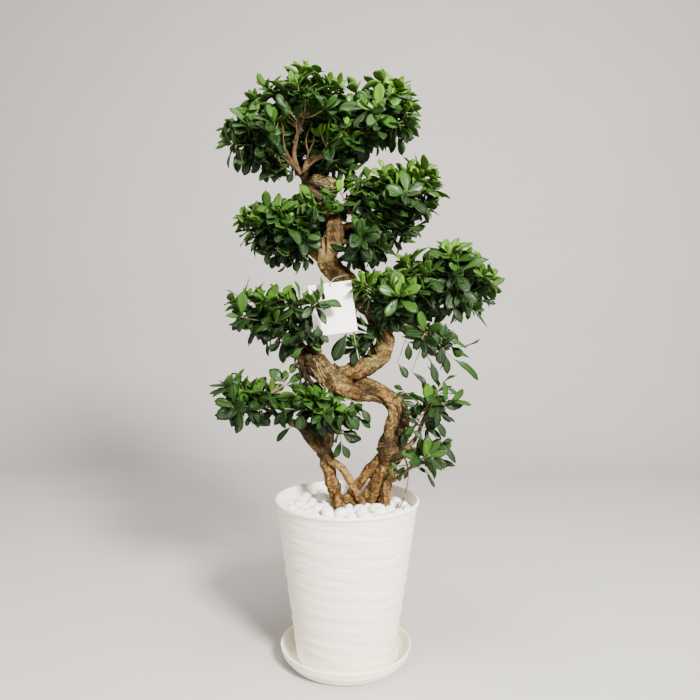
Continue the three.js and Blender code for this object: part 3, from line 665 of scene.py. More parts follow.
# Further sprays that fill a pad out: where each ends, how bright, and a direction of its own
sprays = {
    "crownLeft": [[-156, -12, 980], [-182, 4, 965], [-209, 0, 933], [-161, -30, 887], [-179, -16, 877],
        [-142, -10, 883], [-179, -12, 868], [-152, -8, 859], [-129, -2, 861], [-112, 4, 859],
        [-135, -8, 897], [-194, -8, 947], [-135, -36, 929], [-162, -36, 912], [-138, 16, 921],
        [-188, -20, 907]],
    "crownTop": [[-84, -16, 1027, 0.9], [-32, -24, 1009, 0.6], [-19, -16, 1004, 0.5], [-74, -10, 1036, 0.9],
        [-56, -10, 1006], [-116, -30, 988], [-108, 30, 1009], [-152, -16, 999, 0.3], [-177, -6, 982],
        [-72, -30, 978, 0.4], [-113, 14, 979], [-68, 16, 966]],
    "crownRight": [[60, -10, 1018, 0.7], [88, 0, 1012, 0.9], [74, -16, 1005, 0.8], [87, -20, 983, 0.8],
        [103, 0, 949, 0.9], [97, -24, 958, 0.7], [36, -34, 965, 0.3], [2, -30, 959, 0.6], [44, -20, 922],
        [58, 0, 911], [20, -26, 904], [26, -38, 933], [64, -26, 934], [3, 14, 939], [-15, 20, 926]],
    "crownLow": [[-28, -20, 888], [-49, 10, 882], [-17, -20, 878], [-21, -18, 851], [-7, 0, 866],
        [0, -6, 844], [-57, 24, 871], [-36, 20, 856]],
    "crownBack": [[-38, 70, 1006], [-103, 22, 877], [-82, 30, 893], [-61, 28, 882], [-43, 26, 903],
        [-96, 16, 890], [-75, 20, 901], [-53, 22, 870], [-113, 12, 885], [-97, 26, 920], [-69, 30, 943],
        [-50, 22, 916], [-118, 24, 898]],
    "secondLeft": [[-190, -8, 783, 0.5], [-185, -14, 762, 0.4], [-177, 0, 740], [-148, -6, 722],
        [-127, -10, 715], [-103, -4, 709], [-78, -12, 712], [-93, -2, 695], [-129, 4, 702], [-66, 6, 707],
        [-48, 6, 763], [-52, 10, 788], [-74, -30, 767], [-58, -14, 739], [-104, -34, 783, 0.3],
        [-148, -36, 759], [-111, -36, 736], [-92, -24, 799]],
    "secondRight": [[104, -4, 862, 0.5], [133, 4, 861, 0.6], [142, -10, 837, 0.3], [143, 0, 802],
        [88, -6, 748], [110, 14, 751], [74, -14, 733], [92, -4, 738], [138, -8, 865, 0.4],
        [150, 0, 829, 0.3], [125, 4, 875, 0.5], [148, -10, 851], [-7, -22, 834, 0.9], [0, 0, 855, 0.3],
        [-10, -16, 801], [38, -40, 780], [58, -30, 839, 0.4], [10, -30, 812], [81, -36, 798],
        [24, -14, 849]],
    "secondLow": [[-6, 26, 716], [5, 20, 705], [-6, -22, 708], [67, -4, 728], [32, -26, 728], [19, 0, 714],
        [46, -16, 709]],
    "secondFront": [[-64, -34, 784, 0.9], [-37, -38, 780, 0.8], [-20, -36, 780, 0.2], [-48, -14, 818],
        [-88, -30, 794, 0.5]],
    "thirdLeft": [[-211, -6, 635], [-203, -10, 648], [-69, -36, 638], [-109, -14, 562], [-77, -12, 549],
        [-153, 4, 562], [-149, -24, 583], [-97, -30, 580], [-62, -34, 574], [-83, -32, 567],
        [-52, -30, 560], [-108, -22, 552], [-72, -36, 557], [-42, -50, 630, 0.1, 0.35, -0.85, 0.25],
        [-175, -14, 576], [-150, -20, 652], [-111, -30, 648, 0.3]],
    "thirdRight": [[171, -16, 638], [198, 0, 642], [227, 4, 649], [247, 0, 670, 0.7], [138, -34, 644],
        [168, -6, 721, 0.8], [211, 0, 719, 0.4], [117, -36, 636], [143, -20, 617], [112, -24, 613],
        [190, -26, 665], [87, -24, 702, 0.4], [147, -40, 677], [179, -10, 624], [208, -6, 631],
        [237, 0, 639], [249, -8, 653], [255, 4, 674, 0.6], [196, 4, 618], [219, -2, 618]],
    "thirdMiddle": [[12, -34, 663, 0.6], [17, -4, 553], [6, 4, 545], [31, 0, 546], [22, -30, 649],
        [50, -26, 605], [74, -34, 616], [31, 22, 563], [13, 18, 548], [75, -20, 592], [95, -26, 599],
        [56, -44, 642]],
    "thirdHanging": [[157, -4, 547], [131, -10, 575]],
    "fourthLeft": [[-214, -4, 449], [-176, -4, 438], [-148, -2, 438], [-197, -24, 476],
        [-149, -20, 486, 0.3], [-132, -16, 461], [-168, 14, 461]],
    "fourthMiddle": [[14, -10, 427], [-86, 10, 473], [-101, -20, 462], [-72, -30, 460], [-44, -36, 458],
        [-20, -40, 452, 0.8], [-55, -24, 428], [-14, -16, 421], [21, 0, 454]],
    "fifthUpper": [[113, -8, 417], [137, -4, 441], [149, 8, 454]],
    "fifthLower": [],
}

# Long thin twigs with leaves set along them
switches = {
    "thirdHanging": [[[117, -10, 603], [141, -14, 593], [165, -16, 574]],
        [[121, -8, 592], [152, -14, 565], [180, -16, 537]],
        [[111, -6, 592], [97, -10, 561], [86, -12, 528]], [[128, -4, 585], [135, -8, 551], [142, -10, 530]],
        [[132, -8, 568], [121, -10, 540], [111, -10, 514]]],
    "fifthUpper": [[[102, -8, 413], [126, -12, 421], [150, -16, 433]],
        [[113, -6, 420], [140, -10, 456], [164, -12, 488]],
        [[123, -6, 427], [154, -10, 460], [174, -14, 466]],
        [[110, -4, 384], [134, -10, 410], [165, -14, 390]],
        [[119, -10, 419], [140, -14, 415], [160, -18, 426]]],
    "fifthLower": [[[85, -10, 353], [99, -14, 361], [109, -16, 383]],
        [[78, -12, 326], [99, -16, 335], [118, -18, 347]],
        [[85, -12, 347], [78, -16, 341], [81, -18, 330]]],
}

# Leaves that stand apart from the rest, one by one: base x and z, tip x and z, y, width and how young,
# where a value below 0 paints the leaf darker as painted shade
lone = {
    "secondLow": [[-33, 792, -54, 763, 22, 21, -0.3], [-42, 768, -65, 738, 20, 19, -0.2],
        [-28, 804, -7, 776, 24, 21, -0.3], [-21, 776, -1, 748, 22, 21, -0.3],
        [-49, 807, -63, 782, 20, 18, -0.3], [-10, 758, -20, 726, 20, 19, -0.4],
        [-3, 744, 5, 715, 18, 19, -0.4]],
    "secondFront": [[-20, 817, -15, 838, -34, 16, 1.0], [-23, 806, -52, 821, -34, 16, 0.1],
        [-20, 794, 11, 801, -34, 14, 0.1], [-63, 783, -26, 783, -44, 8, 0.9],
        [-64, 785, -95, 794, -42, 10, 0.7], [-60, 779, -41, 766, -44, 13, 0.2],
        [-54, 798, -21, 801, -40, 9, 0], [-22, 809, -48, 822, -38, 11, 0.1],
        [-40, 807, -67, 810, -38, 9, -0.2]],
    "secondLeft": [[-177, 776, -202, 775, -14, 9, 0.4], [-177, 777, -186, 794, -14, 15, 0.4],
        [-183, 760, -195, 758, -10, 9, 0.4], [-132, 800, -147, 805, -8, 8, -0.2],
        [-158, 745, -182, 736, -12, 6, -0.2], [-155, 739, -183, 729, -8, 5, -0.1],
        [-151, 734, -164, 725, -10, 7, -0.2], [-141, 721, -141, 695, -14, 12, -0.3],
        [-111, 722, -123, 697, -12, 12, -0.3], [-123, 716, -99, 712, -44, 14, 0.4],
        [-88, 715, -92, 683, -10, 10, -0.3], [-70, 709, -77, 686, -8, 9, -0.2]],
    "secondRight": [[60, 858, 50, 879, -12, 10, 0.4], [60, 850, 35, 860, -16, 15, 0.7],
        [96, 857, 73, 852, -18, 10, 0.3], [121, 858, 151, 869, -12, 14, 0.5],
        [111, 842, 107, 867, -20, 17, 0.8], [134, 835, 153, 844, -12, 12, 0.4],
        [129, 824, 162, 814, -14, 13, 0.5], [52, 821, 99, 847, -34, 14, 0.2],
        [127, 795, 158, 787, -10, 7, 0.2], [109, 760, 125, 747, -10, 8, -0.1],
        [102, 753, 117, 749, -16, 10, 0.5], [28, 833, -7, 843, -36, 12, 0],
        [40, 719, 40, 690, -10, 13, -0.3]],
    "thirdLeft": [[-73, 574, -103, 560, -34, 23, 0], [-52, 577, -33, 564, -34, 14, 0.3],
        [-66, 570, -45, 557, -30, 14, 0.15], [-83, 563, -107, 546, -26, 16, 0],
        [-98, 557, -112, 535, -16, 18, 0.05], [-91, 556, -89, 532, -20, 14, 0],
        [-52, 591, -52, 572, -40, 18, 0.1]],
    "crownLeft": [[-197, 889, -192, 853, -10, 14, 0], [-169, 878, -184, 849, -14, 18, 0.05],
        [-137, 866, -156, 840, -8, 14, 0], [-129, 869, -129, 836, -12, 14, 0.05],
        [-120, 868, -122, 847, -2, 11, 0], [-99, 859, -106, 838, -4, 14, 0],
        [-194, 933, -234, 929, -6, 7, 0], [-199, 909, -230, 906, -10, 9, 0],
        [-170, 950, -196, 965, -16, 21, 0.1], [-189, 919, -218, 928, -14, 14, 0.3],
        [-153, 864, -143, 840, 0, 12, 0]],
    "crownTop": [[-83, 1004, -77, 1036, -18, 21, 0.9], [-92, 998, -98, 1025, -20, 19, 0.5],
        [-75, 1001, -56, 1016, -14, 14, 0.5], [-126, 989, -158, 995, -18, 18, 0.7],
        [-94, 978, -128, 979, -26, 19, 0.8], [-49, 985, -49, 1008, -26, 21, 0.5],
        [-35, 986, -27, 1013, -22, 19, 0.5], [-32, 985, -8, 999, -20, 16, 0.5],
        [-111, 999, -132, 1012, -8, 16, 0.4], [-69, 976, -48, 969, -28, 16, 0.4]],
    "crownRight": [[62, 959, 41, 991, -20, 16, 0.4], [67, 966, 63, 1019, -22, 23, 0.45],
        [69, 966, 99, 1008, -16, 19, 0.45], [74, 957, 94, 982, -18, 18, 0.45],
        [76, 951, 122, 953, -14, 18, 0.45], [79, 944, 122, 933, -16, 16, 0.45],
        [71, 937, 110, 922, -18, 14, 0.45], [9, 964, 19, 990, -24, 21, 0.45],
        [1, 966, -1, 984, -20, 19, 0.6], [6, 962, -15, 975, -22, 14, 0.5],
        [16, 957, 36, 967, -26, 18, 0.5]],
    "thirdRight": [[161, 697, 167, 742, -22, 23, 0.3], [160, 696, 137, 728, -18, 16, 0.05],
        [160, 691, 127, 713, -20, 13, 0], [163, 701, 195, 718, -20, 9, 0.3],
        [190, 693, 215, 719, -14, 20, 0.3], [195, 693, 216, 699, -12, 9, 0.2],
        [174, 691, 227, 693, -16, 6, 0], [235, 665, 235, 689, -6, 16, 0.45],
        [238, 659, 215, 673, -10, 19, 0.05], [239, 658, 271, 677, -6, 14, 0.3],
        [228, 637, 256, 634, -8, 13, 0.1], [233, 633, 217, 654, -12, 12, 0.4],
        [211, 628, 245, 592, -8, 5, 0], [186, 641, 213, 609, -20, 16, 0], [177, 631, 197, 600, -22, 18, 0],
        [176, 634, 150, 637, -34, 18, 0.05], [110, 624, 139, 640, -40, 13, 0.5],
        [108, 628, 88, 655, -42, 17, 0.25]],
    "thirdHanging": [[165, 574, 207, 558, -16, 12, 0.45], [182, 536, 231, 505, -16, 18, 0.6],
        [160, 558, 159, 527, -20, 19, 0.1], [167, 546, 173, 510, -18, 14, 0.2],
        [142, 535, 155, 493, -14, 14, 0.1], [87, 526, 103, 502, -12, 16, 0.2],
        [111, 512, 138, 493, -10, 11, 0.1], [164, 555, 181, 562, -14, 12, 0],
        [152, 565, 142, 541, -16, 14, 0], [104, 564, 106, 533, -8, 14, 0], [133, 563, 132, 535, -12, 12, 0],
        [169, 598, 162, 574, -14, 19, 0], [121, 575, 118, 550, -10, 14, 0],
        [146, 586, 153, 558, -18, 16, 0], [181, 586, 188, 561, -6, 14, 0]],
    "fifthUpper": [[139, 457, 139, 493, -14, 19, 0.45], [164, 490, 195, 471, -12, 11, 0.3],
        [172, 464, 216, 459, -14, 12, 0.35], [154, 458, 173, 471, -12, 16, 0],
        [123, 449, 94, 463, -10, 12, 0], [126, 456, 107, 477, -8, 9, 0.1], [166, 455, 188, 448, -14, 9, 0],
        [160, 440, 188, 428, -16, 9, 0], [150, 429, 173, 402, -18, 16, 0.1],
        [133, 417, 166, 399, -16, 11, 0.2], [138, 408, 139, 373, -16, 19, 0.2],
        [106, 383, 144, 364, -14, 12, 0.1], [163, 389, 191, 356, -16, 12, 0.25],
        [98, 401, 115, 417, -18, 16, 0.5], [97, 379, 100, 404, -14, 14, 0],
        [126, 419, 105, 432, -12, 11, 0.1], [130, 422, 143, 444, -14, 11, 0.3],
        [133, 421, 157, 443, -12, 9, 0.1], [128, 435, 119, 456, -10, 18, 0],
        [112, 410, 130, 400, -12, 12, 0.4], [154, 460, 165, 442, -10, 14, 0],
        [143, 439, 164, 429, -14, 11, 0.2], [165, 390, 182, 396, -14, 9, 0.1],
        [116, 441, 99, 441, -6, 11, 0]],
    "fifthLower": [[118, 347, 119, 373, -18, 16, 0], [122, 346, 137, 338, -16, 7, 0],
        [137, 338, 154, 311, -16, 7, 0], [85, 331, 99, 348, -18, 9, 0.3], [80, 326, 74, 344, -16, 9, 0.2],
        [95, 336, 89, 322, -18, 7, 0.2], [88, 341, 78, 355, -16, 7, 0.4], [108, 341, 99, 325, -16, 7, 0.1]],
    "fourthLeft": [[-198, 482, -244, 489, -6, 7, -0.2], [-199, 478, -243, 475, -10, 11, -0.2],
        [-188, 483, -202, 508, -14, 21, -0.4], [-177, 458, -222, 454, -20, 21, 0.05],
        [-180, 447, -204, 416, -20, 23, 0.1], [-165, 438, -178, 415, -14, 11, 0],
        [-127, 441, -154, 427, -18, 19, 0.05], [-145, 437, -139, 416, -14, 14, 0],
        [-99, 414, -127, 390, -10, 14, 0], [-111, 491, -137, 515, -8, 23, -0.5],
        [-107, 489, -77, 509, -10, 18, -0.45], [-107, 487, -79, 481, -12, 18, -0.3],
        [-110, 492, -109, 513, -10, 14, -0.3], [-74, 496, -84, 468, -6, 19, -0.6],
        [-64, 492, -69, 464, -4, 18, -0.6], [-92, 474, -67, 481, 0, 18, -0.5],
        [-78, 554, -101, 539, -22, 19, -0.5], [-69, 563, -45, 550, -30, 16, -0.2],
        [-84, 528, -103, 510, -10, 18, -0.5], [-121, 450, -145, 469, -24, 21, 0.1],
        [-166, 469, -149, 493, -22, 21, 0.15], [-187, 465, -208, 475, -22, 16, 0],
        [-155, 459, -134, 476, -26, 19, 0.1]],
    "fourthMiddle": [[-86, 443, -84, 472, -30, 23, 0.1], [-79, 443, -82, 411, -34, 23, 0.05],
        [-23, 449, 0, 456, -46, 19, 0.9], [-23, 444, -34, 430, -46, 14, 0.8],
        [-3, 446, 19, 414, -36, 19, 0.25], [21, 451, 40, 425, -20, 14, 0.05],
        [18, 431, 41, 416, -16, 14, 0.1], [-10, 412, 20, 397, -30, 21, 0],
        [-39, 428, -8, 408, -36, 18, 0.15], [-51, 433, -37, 401, -34, 18, 0.05],
        [-72, 427, -49, 407, -30, 18, 0.05], [-11, 394, -20, 362, -22, 12, 0.6],
        [-10, 387, 3, 362, -22, 14, 0.5], [7, 460, -4, 480, -20, 14, 0.3],
        [-38, 457, -55, 471, -34, 14, 0.3], [-61, 447, -41, 461, -34, 16, 0.2],
        [-13, 430, 7, 417, -34, 14, 0.2], [-97, 434, -114, 420, -20, 16, 0]],
    "thirdMiddle": [[-3, 579, -26, 531, -24, 26, 0.1], [22, 558, 3, 523, -14, 18, 0.1],
        [41, 573, 17, 546, -16, 19, 0.2], [23, 577, 13, 558, -8, 14, 0]],
}

# Thin branches of the crown and of the knob where the inner stem ends
boughs = [
    [[-85, -8, 853, 2.4], [-102, -14, 874, 1.8], [-113, -20, 897, 1.4], [-115, -22, 927, 1.1],
        [-127, -24, 956, 0.8]],
    [[-87, -8, 860, 2.1], [-98, -16, 878, 1.6], [-91, -22, 907, 1.2], [-92, -26, 936, 1.0],
        [-84, -26, 973, 0.7]],
    [[-80, -8, 867, 1.8], [-72, -18, 885, 1.3], [-76, -22, 907, 1.0], [-65, -24, 934, 0.8]],
    [[-81, -8, 856, 2.5], [-65, -16, 870, 2.0], [-43, -22, 881, 1.6], [-23, -26, 896, 1.2],
        [-6, -28, 916, 0.9]],
    [[-100, -14, 875, 1.1], [-110, -20, 891, 0.9], [-126, -24, 903, 0.7]],
    [[-74, -14, 882, 1.2], [-64, -22, 901, 1.0], [-60, -26, 920, 0.7]],
    [[-103, -12, 869, 1.6], [-127, -20, 887, 1.1], [-150, -24, 896, 0.9]],
    [[-70, -16, 549, 1.4], [-80, -24, 565, 1.1], [-97, -24, 571, 0.8], [-118, -22, 585, 0.7]],
    [[-75, -16, 544, 1.3], [-90, -24, 558, 1.1], [-111, -22, 559, 0.8], [-132, -22, 573, 0.7]],
    [[-62, -14, 552, 1.2], [-68, -22, 570, 1.0], [-85, -24, 584, 0.7], [-97, -24, 606, 0.7]],
    [[-46, -14, 546, 0.8], [-53, -22, 560, 0.7], [-51, -24, 574, 0.5]],
    [[-56, -14, 551, 0.8], [-65, -24, 563, 0.7], [-61, -26, 577, 0.5]],
    [[4, -22, 779, 1.4], [-6, -28, 799, 1.2], [-18, -30, 822, 1.0]],
    [[-83, -12, 561, 4.5], [-84, -14, 542, 6.1], [-81, -14, 523, 6.1], [-72, -12, 503, 5.3],
        [-60, -10, 486, 2.9]],
    [[-77, -18, 518, 2.6], [-75, -16, 499, 2.3], [-65, -12, 481, 1.6], [-51, -8, 472, 1.2]],
    [[-87, -18, 549, 2.5], [-92, -18, 530, 2.1], [-84, -18, 511, 1.8], [-82, -14, 491, 1.1]],
    [[67, -14, 382, 1.5], [56, -20, 383, 1.1], [51, -20, 380, 0.7]],
    [[64, -14, 386, 1.1], [55, -18, 388, 0.7]],
    [[89, -10, 346, 1.0], [120, -16, 350, 0.8], [141, -18, 336, 0.7], [151, -18, 315, 0.7]],
]

# Fine roots that cling to the front of the knob, as places seen from the front, x and z
threads = [
    [[-56, 529], [-45, 516], [-37, 501]],
    [[-63, 518], [-56, 501], [-50, 483]],
    [[-68, 508], [-59, 490], [-47, 473]],
    [[-51, 535], [-39, 522], [-30, 508]],
    [[-45, 497], [-38, 484], [-26, 473]],
    [[-59, 535], [-52, 518], [-45, 504], [-42, 490]],
    [[-21, 484], [-12, 473], [0, 463]],
]

# The wood: every stem, root and bough as a round limb, grown together and then carved by noise
bark = {"step": 5, "fineStep": 6, "voxel": 1.8, "smooth": 3, "core": 0.99, "near": 14,
    "strands": 5, "strandOut": 0.78, "strand": 0.36, "wind": 110,
    "flute": 1.1, "lump": 1.5, "wrinkle": 0.35, "rough": 0.9, "crack": 0.7, "band": 0.5, "seam": 2.2,
    "knob": (-68, -4, 532), "knobReach": 36, "gnarl": 3.4, "cobble": 2.2,
    "thread": 0.75, "threadStray": 5, "rootStray": 0.9, "boughStray": 1.6}

# The bark's tones, each from the hollows of its pattern to the crests
barkTones = {
    "tan": ((0.37, (0.018, 0.008, 0.002)), (0.45, (0.065, 0.03, 0.008)), (0.53, (0.16, 0.083, 0.02)),
        (0.62, (0.34, 0.2, 0.058))),
    "grey": ((0.37, (0.013, 0.009, 0.003)), (0.46, (0.045, 0.031, 0.01)), (0.54, (0.11, 0.082, 0.03)),
        (0.64, (0.27, 0.21, 0.092))),
    "ruddy": ((0.37, (0.025, 0.009, 0.002)), (0.46, (0.09, 0.038, 0.008)), (0.55, (0.23, 0.12, 0.034)),
        (0.64, (0.4, 0.24, 0.085))),
    "log": ((0.1, (0.38, 0.345, 0.17)), (0.4, (0.17, 0.145, 0.07)), (0.75, (0.025, 0.018, 0.008))),
    "shoot": ((0.3, (0.035, 0.019, 0.008)), (0.55, (0.1, 0.06, 0.026)), (0.75, (0.2, 0.135, 0.065))),
    # dark and pale: the colours of the bark's patches of painted shade and painted light
    "dark": ((0.42, (0.009, 0.005, 0.002)), (0.52, (0.02, 0.011, 0.004)), (0.63, (0.085, 0.048, 0.02))),
    "clinging": ((0.4, (0.07, 0.04, 0.014)), (0.66, (0.42, 0.31, 0.14))),
    "pale": (0.42, 0.3, 0.12),
}

# Patches of painted shade, below 0, where the wood lies in shade, and of painted light, above 0, where a side
# is lit, partly the bark's own tone: the place and its reach in metres, and how much
paintedShadeAndLight = (((-0.075, 0, 0.826), 0.028, -0.95), ((-0.04, -0.014, 0.721), 0.022, 0.3),
    ((-0.078, -0.024, 0.53), 0.05, -0.96), ((-0.07, -0.02, 0.5), 0.03, -0.9),
    ((0.02, -0.02, 0.466), 0.045, -0.4), ((0.08, -0.01, 0.377), 0.034, -0.6),
    ((0.1, 0.01, 0.408), 0.03, -0.65), ((-0.062, -0.006, 0.398), 0.034, -0.75),
    ((0.012, 0, 0.647), 0.04, -0.6), ((-0.028, -0.016, 0.76), 0.034, -0.45),
    ((-0.047, -0.012, 0.743), 0.016, -0.8), ((0.031, -0.012, 0.487), 0.013, -0.75))

# Folds in the front of the wood, where one limb passes behind another: each line's places, x and z, its
# depth and its reach. A depth below 0 is a ridge. A fold's dent is also painted with shade, full at the depth
# called full
folds = {"facing": -0.1, "low": 415, "high": 505, "full": 3, "lines": (
    ([(10, 494), (24, 484), (36, 476), (49, 471), (59, 463), (68, 447)], 3.6, 4),
    ([(22, 492), (38, 485), (54, 479)], 2.4, 7), ([(54, 470), (63, 456)], -1.8, 4),
    ([(70, 458), (80, 456), (89, 444), (91, 426)], 2.2, 3))}


def barkFinish():
    paint = Paint("banyanBark", Specular_IOR_Level=0.14)
    crackAndHollowShade, ring, age = paint.marks("bark")
    chart = paint.node("ShaderNodeAttribute", {"attribute_name": "barkChart"}, out="Vector")
    height, side = paint.axis(2), paint.axis(0)
    mottle = paint.noise(46, 6, 0.68, warp=0.5)
    patch = paint.noise(15, 3, 0.55, warp=0.8)
    speckle = paint.noise(190, 5, 0.7, warp=0.3)
    fleck = paint.noise(320, 4, 0.7)
    sinew = paint.noise(1, 5, 0.62, paint.place((0.34, 0.34, 0.035), chart), 0.3)
    wrinkle = paint.noise(1, 4, 0.6, paint.place((0.05, 0.05, 0.42), chart), 0.4)
    fibre = paint.noise(1, 4, 0.65, paint.place((0.5, 0.5, 0.13), chart), 0.5)
    cobble = paint.cells(210, paint.place((1, 1, 1.3)))
    tone = mottle * 0.55 + sinew * 0.22 + wrinkle * 0.23
    log = height.between(0.818, 0.828) * side.between(-0.074, -0.066) * (1 - age)
    tan, grey, ruddy = (paint.ramp(tone, barkTones[name]) for name in ("tan", "grey", "ruddy"))
    colour = paint.layered(tan, (patch.between(0.36, 0.6), grey),
        ((1 - height.between(0.29, 0.4)) * 0.85, ruddy),
        (log, paint.ramp(cobble, barkTones["log"])),
        (speckle.between(0.54, 0.66) * 0.5, (0.46, 0.3, 0.1)),
        (fibre.between(0.54, 0.64) * 0.35, (0.5, 0.34, 0.11)),
        ((1 - fibre.between(0.38, 0.48)) * 0.55, (0.03, 0.015, 0.004)),
        ((1 - speckle.between(0.36, 0.48)) * 0.85, (0.028, 0.014, 0.004)),
        (fleck.between(0.58, 0.72) * 0.3, (0.42, 0.3, 0.14)),
        (ring.between(0.2, 0.9) * 0.45, (0.045, 0.024, 0.007)),
        # painted shade in the hollows, seams and folds, and the cracks partly their own dark
        (crackAndHollowShade.between(0.1, 0.9) * 0.9, (0.014, 0.008, 0.003)),
        (age.between(0.5, 1), paint.ramp(mottle, barkTones["shoot"])))
    # The colour of the patches of painted shade
    dark = paint.ramp(speckle * 0.6 + mottle * 0.4, barkTones["dark"])
    # Patches of painted shade and painted light, partly the bark's own tone
    for place, reach, amount in paintedShadeAndLight:
        away = paint.distance(place) + (mottle - 0.5) * 0.05
        share = (1 - away.between(reach * 0.5, reach)) * abs(amount)
        colour = paint.blend(share, colour, dark if amount < 0 else barkTones["pale"])
    colour = paint.blend((0 - ring).between(0.4, 0.9), colour, paint.ramp(speckle, barkTones["clinging"]))
    grain = tone * 0.7 + speckle * 0.6 + fibre * 0.25 + fleck * 0.3 - log * cobble
    rough = 0.58 + 0.3 * mottle
    return paint.finish(Base_Color=colour, Roughness=rough, bump=grain, distance=0.003, strength=0.9)


def limbRuns():
    lines = [*stems.values(), *(pad["branch"] for pad in pads.values())]
    return [centreLine(points, bark["step"]) for points in lines]


# Strands of root grown onto a stem, that wind a little round it
def strandsOf(run, number):
    strands = []
    for i in range(bark["strands"]):
        strand = []
        for point, ahead, along in stepsOf(run):
            across = ahead.cross(Vector((0, -1, 0))).normalized()
            front = across.cross(ahead)
            stray = noise.noise(Vector((along / 45, i * 5, number * 7)))
            turn = fullTurn * i / bark["strands"] + along / bark["wind"] + 1.5 * stray + number
            at = point.xyz + (across * math.cos(turn) + front * math.sin(turn)) * point.w * bark["strandOut"]
            swell = 1 + 0.5 * noise.noise(Vector((along / 22, i * 9, number)))
            strand.append((*at, point.w * bark["strand"] * swell))
        strands.append(strand)
    return strands


# The limbs and the stems' strands, melted into one skin
def skinOf(runs):
    strands = [strand for number, run in enumerate(runs[:len(stems)]) for strand in strandsOf(run, number)]
    cores = [[(p.x, p.y, p.z, p.w * bark["core"]) for p in run] for run in runs]
    raw = addObject("raw", tubes(cores + strands, 5))
    melt = raw.modifiers.new("melt", "REMESH")
    melt.mode = "VOXEL"
    melt.voxel_size = bark["voxel"] * mm
    settle = raw.modifiers.new("settle", "SMOOTH")
    settle.factor = 0.5
    settle.iterations = bark["smooth"]
    bm = bmesh.new()
    bm.from_mesh(spentMesh(raw))
    return bm


# How far a place, seen from the front, is from a line of places
def offLine(place, line):
    gaps = []
    for start, end in zip(line, line[1:]):
        run = Vector(end) - Vector(start)
        part = max(0, min(1, (place - Vector(start)).dot(run) / run.length_squared))
        gaps.append((place - Vector(start) - run * part).length)
    return min(gaps)


# How deep each fold is at a place on the front of the wood
def foldsAt(at):
    return [(1 - eased(offLine(at.xz, line), 0.2 * reach, reach)) * depth
        for line, depth, reach in folds["lines"]]


# How a place on the skin is carved, from the limbs near it: how far it moves out, its marks, which say how
# much painted shade its hollows, seams and folds get, with the cracks partly their own dark, how ringed and
# young the bark is there, and where it is on its limb
def carvingAt(at, outward, near):
    point, ahead, reached, number = min(near, key=lambda spot: (at - spot[0].xyz).length - spot[0].w)
    off = at - point.xyz
    along = reached + off.dot(ahead)
    beside = min(((at - spot[0].xyz).length - spot[0].w for spot in near if spot[3] != number), default=99)
    seam = 1 - eased(beside - (off.length - point.w), 0, 4.5)
    off = off - ahead * off.dot(ahead)
    away = off.normalized()
    around = Vector((away.x + 3.7 * number, away.y, away.z))
    flute = noise.noise(around * 1.1 + ahead * (along / 55))
    lump = noise.noise(at / 21) + 0.5 * noise.noise(at / 9)
    wrinkle = noise.noise(Vector((away.x * 1.2 + number, away.y * 1.2 + away.z * 1.2, along / 3.4)))
    ring = noise.noise(Vector((away.x * 0.5 + 7 * number, away.z * 0.5, along / 6.5)))
    rough = noise.fractal(at / 6, 0.8, 2.1, 5)
    split = noise.noise(Vector((away.x * 2.6 + number, away.y * 2.6 + away.z * 2.6, along / 34)) + at / 40)
    crack = eased(0.07 - abs(split), 0, 0.07) * eased(noise.noise(at / 26 + Vector((9, 9, 9))), 0, 0.35)
    band = eased(abs(ring), 0.3, 0.55)
    thick = eased(point.w, 6, 9)
    knob = 1 - eased((at - Vector(bark["knob"])).length, 0.4 * bark["knobReach"], bark["knobReach"])
    log = eased(at.z, 820, 828) * eased(at.x, -70, -62) * thick
    groove = (1 - eased(off.length / point.w, 0.95, 1.08)) * thick
    push = bark["flute"] * flute + bark["lump"] * lump + bark["wrinkle"] * wrinkle + bark["rough"] * rough
    push += (knob * (bark["gnarl"] * noise.fractal(at / 9, 0.9, 2.1, 4) + 1)
        + log * bark["cobble"] * noise.noise(at / 3.6))
    push = (push - bark["crack"] * crack - bark["band"] * band - bark["seam"] * seam) * min(1, point.w / 9)
    crease = 0
    if outward.y < folds["facing"] and folds["low"] < at.z < folds["high"] and at.x > 0:
        dents = foldsAt(at)
        push -= sum(dents) * min(1, -2 * outward.y)
        crease = max(0, min(1, max(dents) / folds["full"]))
    # Painted shade in the rough bark's hollows, the seams and crotches between limbs and the folds, with the
    # cracks partly their own dark
    crackAndHollowShade = max(crack * 0.6, eased(-rough, 0.1, 0.7) * 0.75, seam * 0.8, groove * 0.5, crease)
    chart = (away.x * point.w + 60 * number, away.y * point.w + away.z * point.w, along)
    return push, (crackAndHollowShade, band, 1 - eased(point.w, 4, 8.5), 1), chart


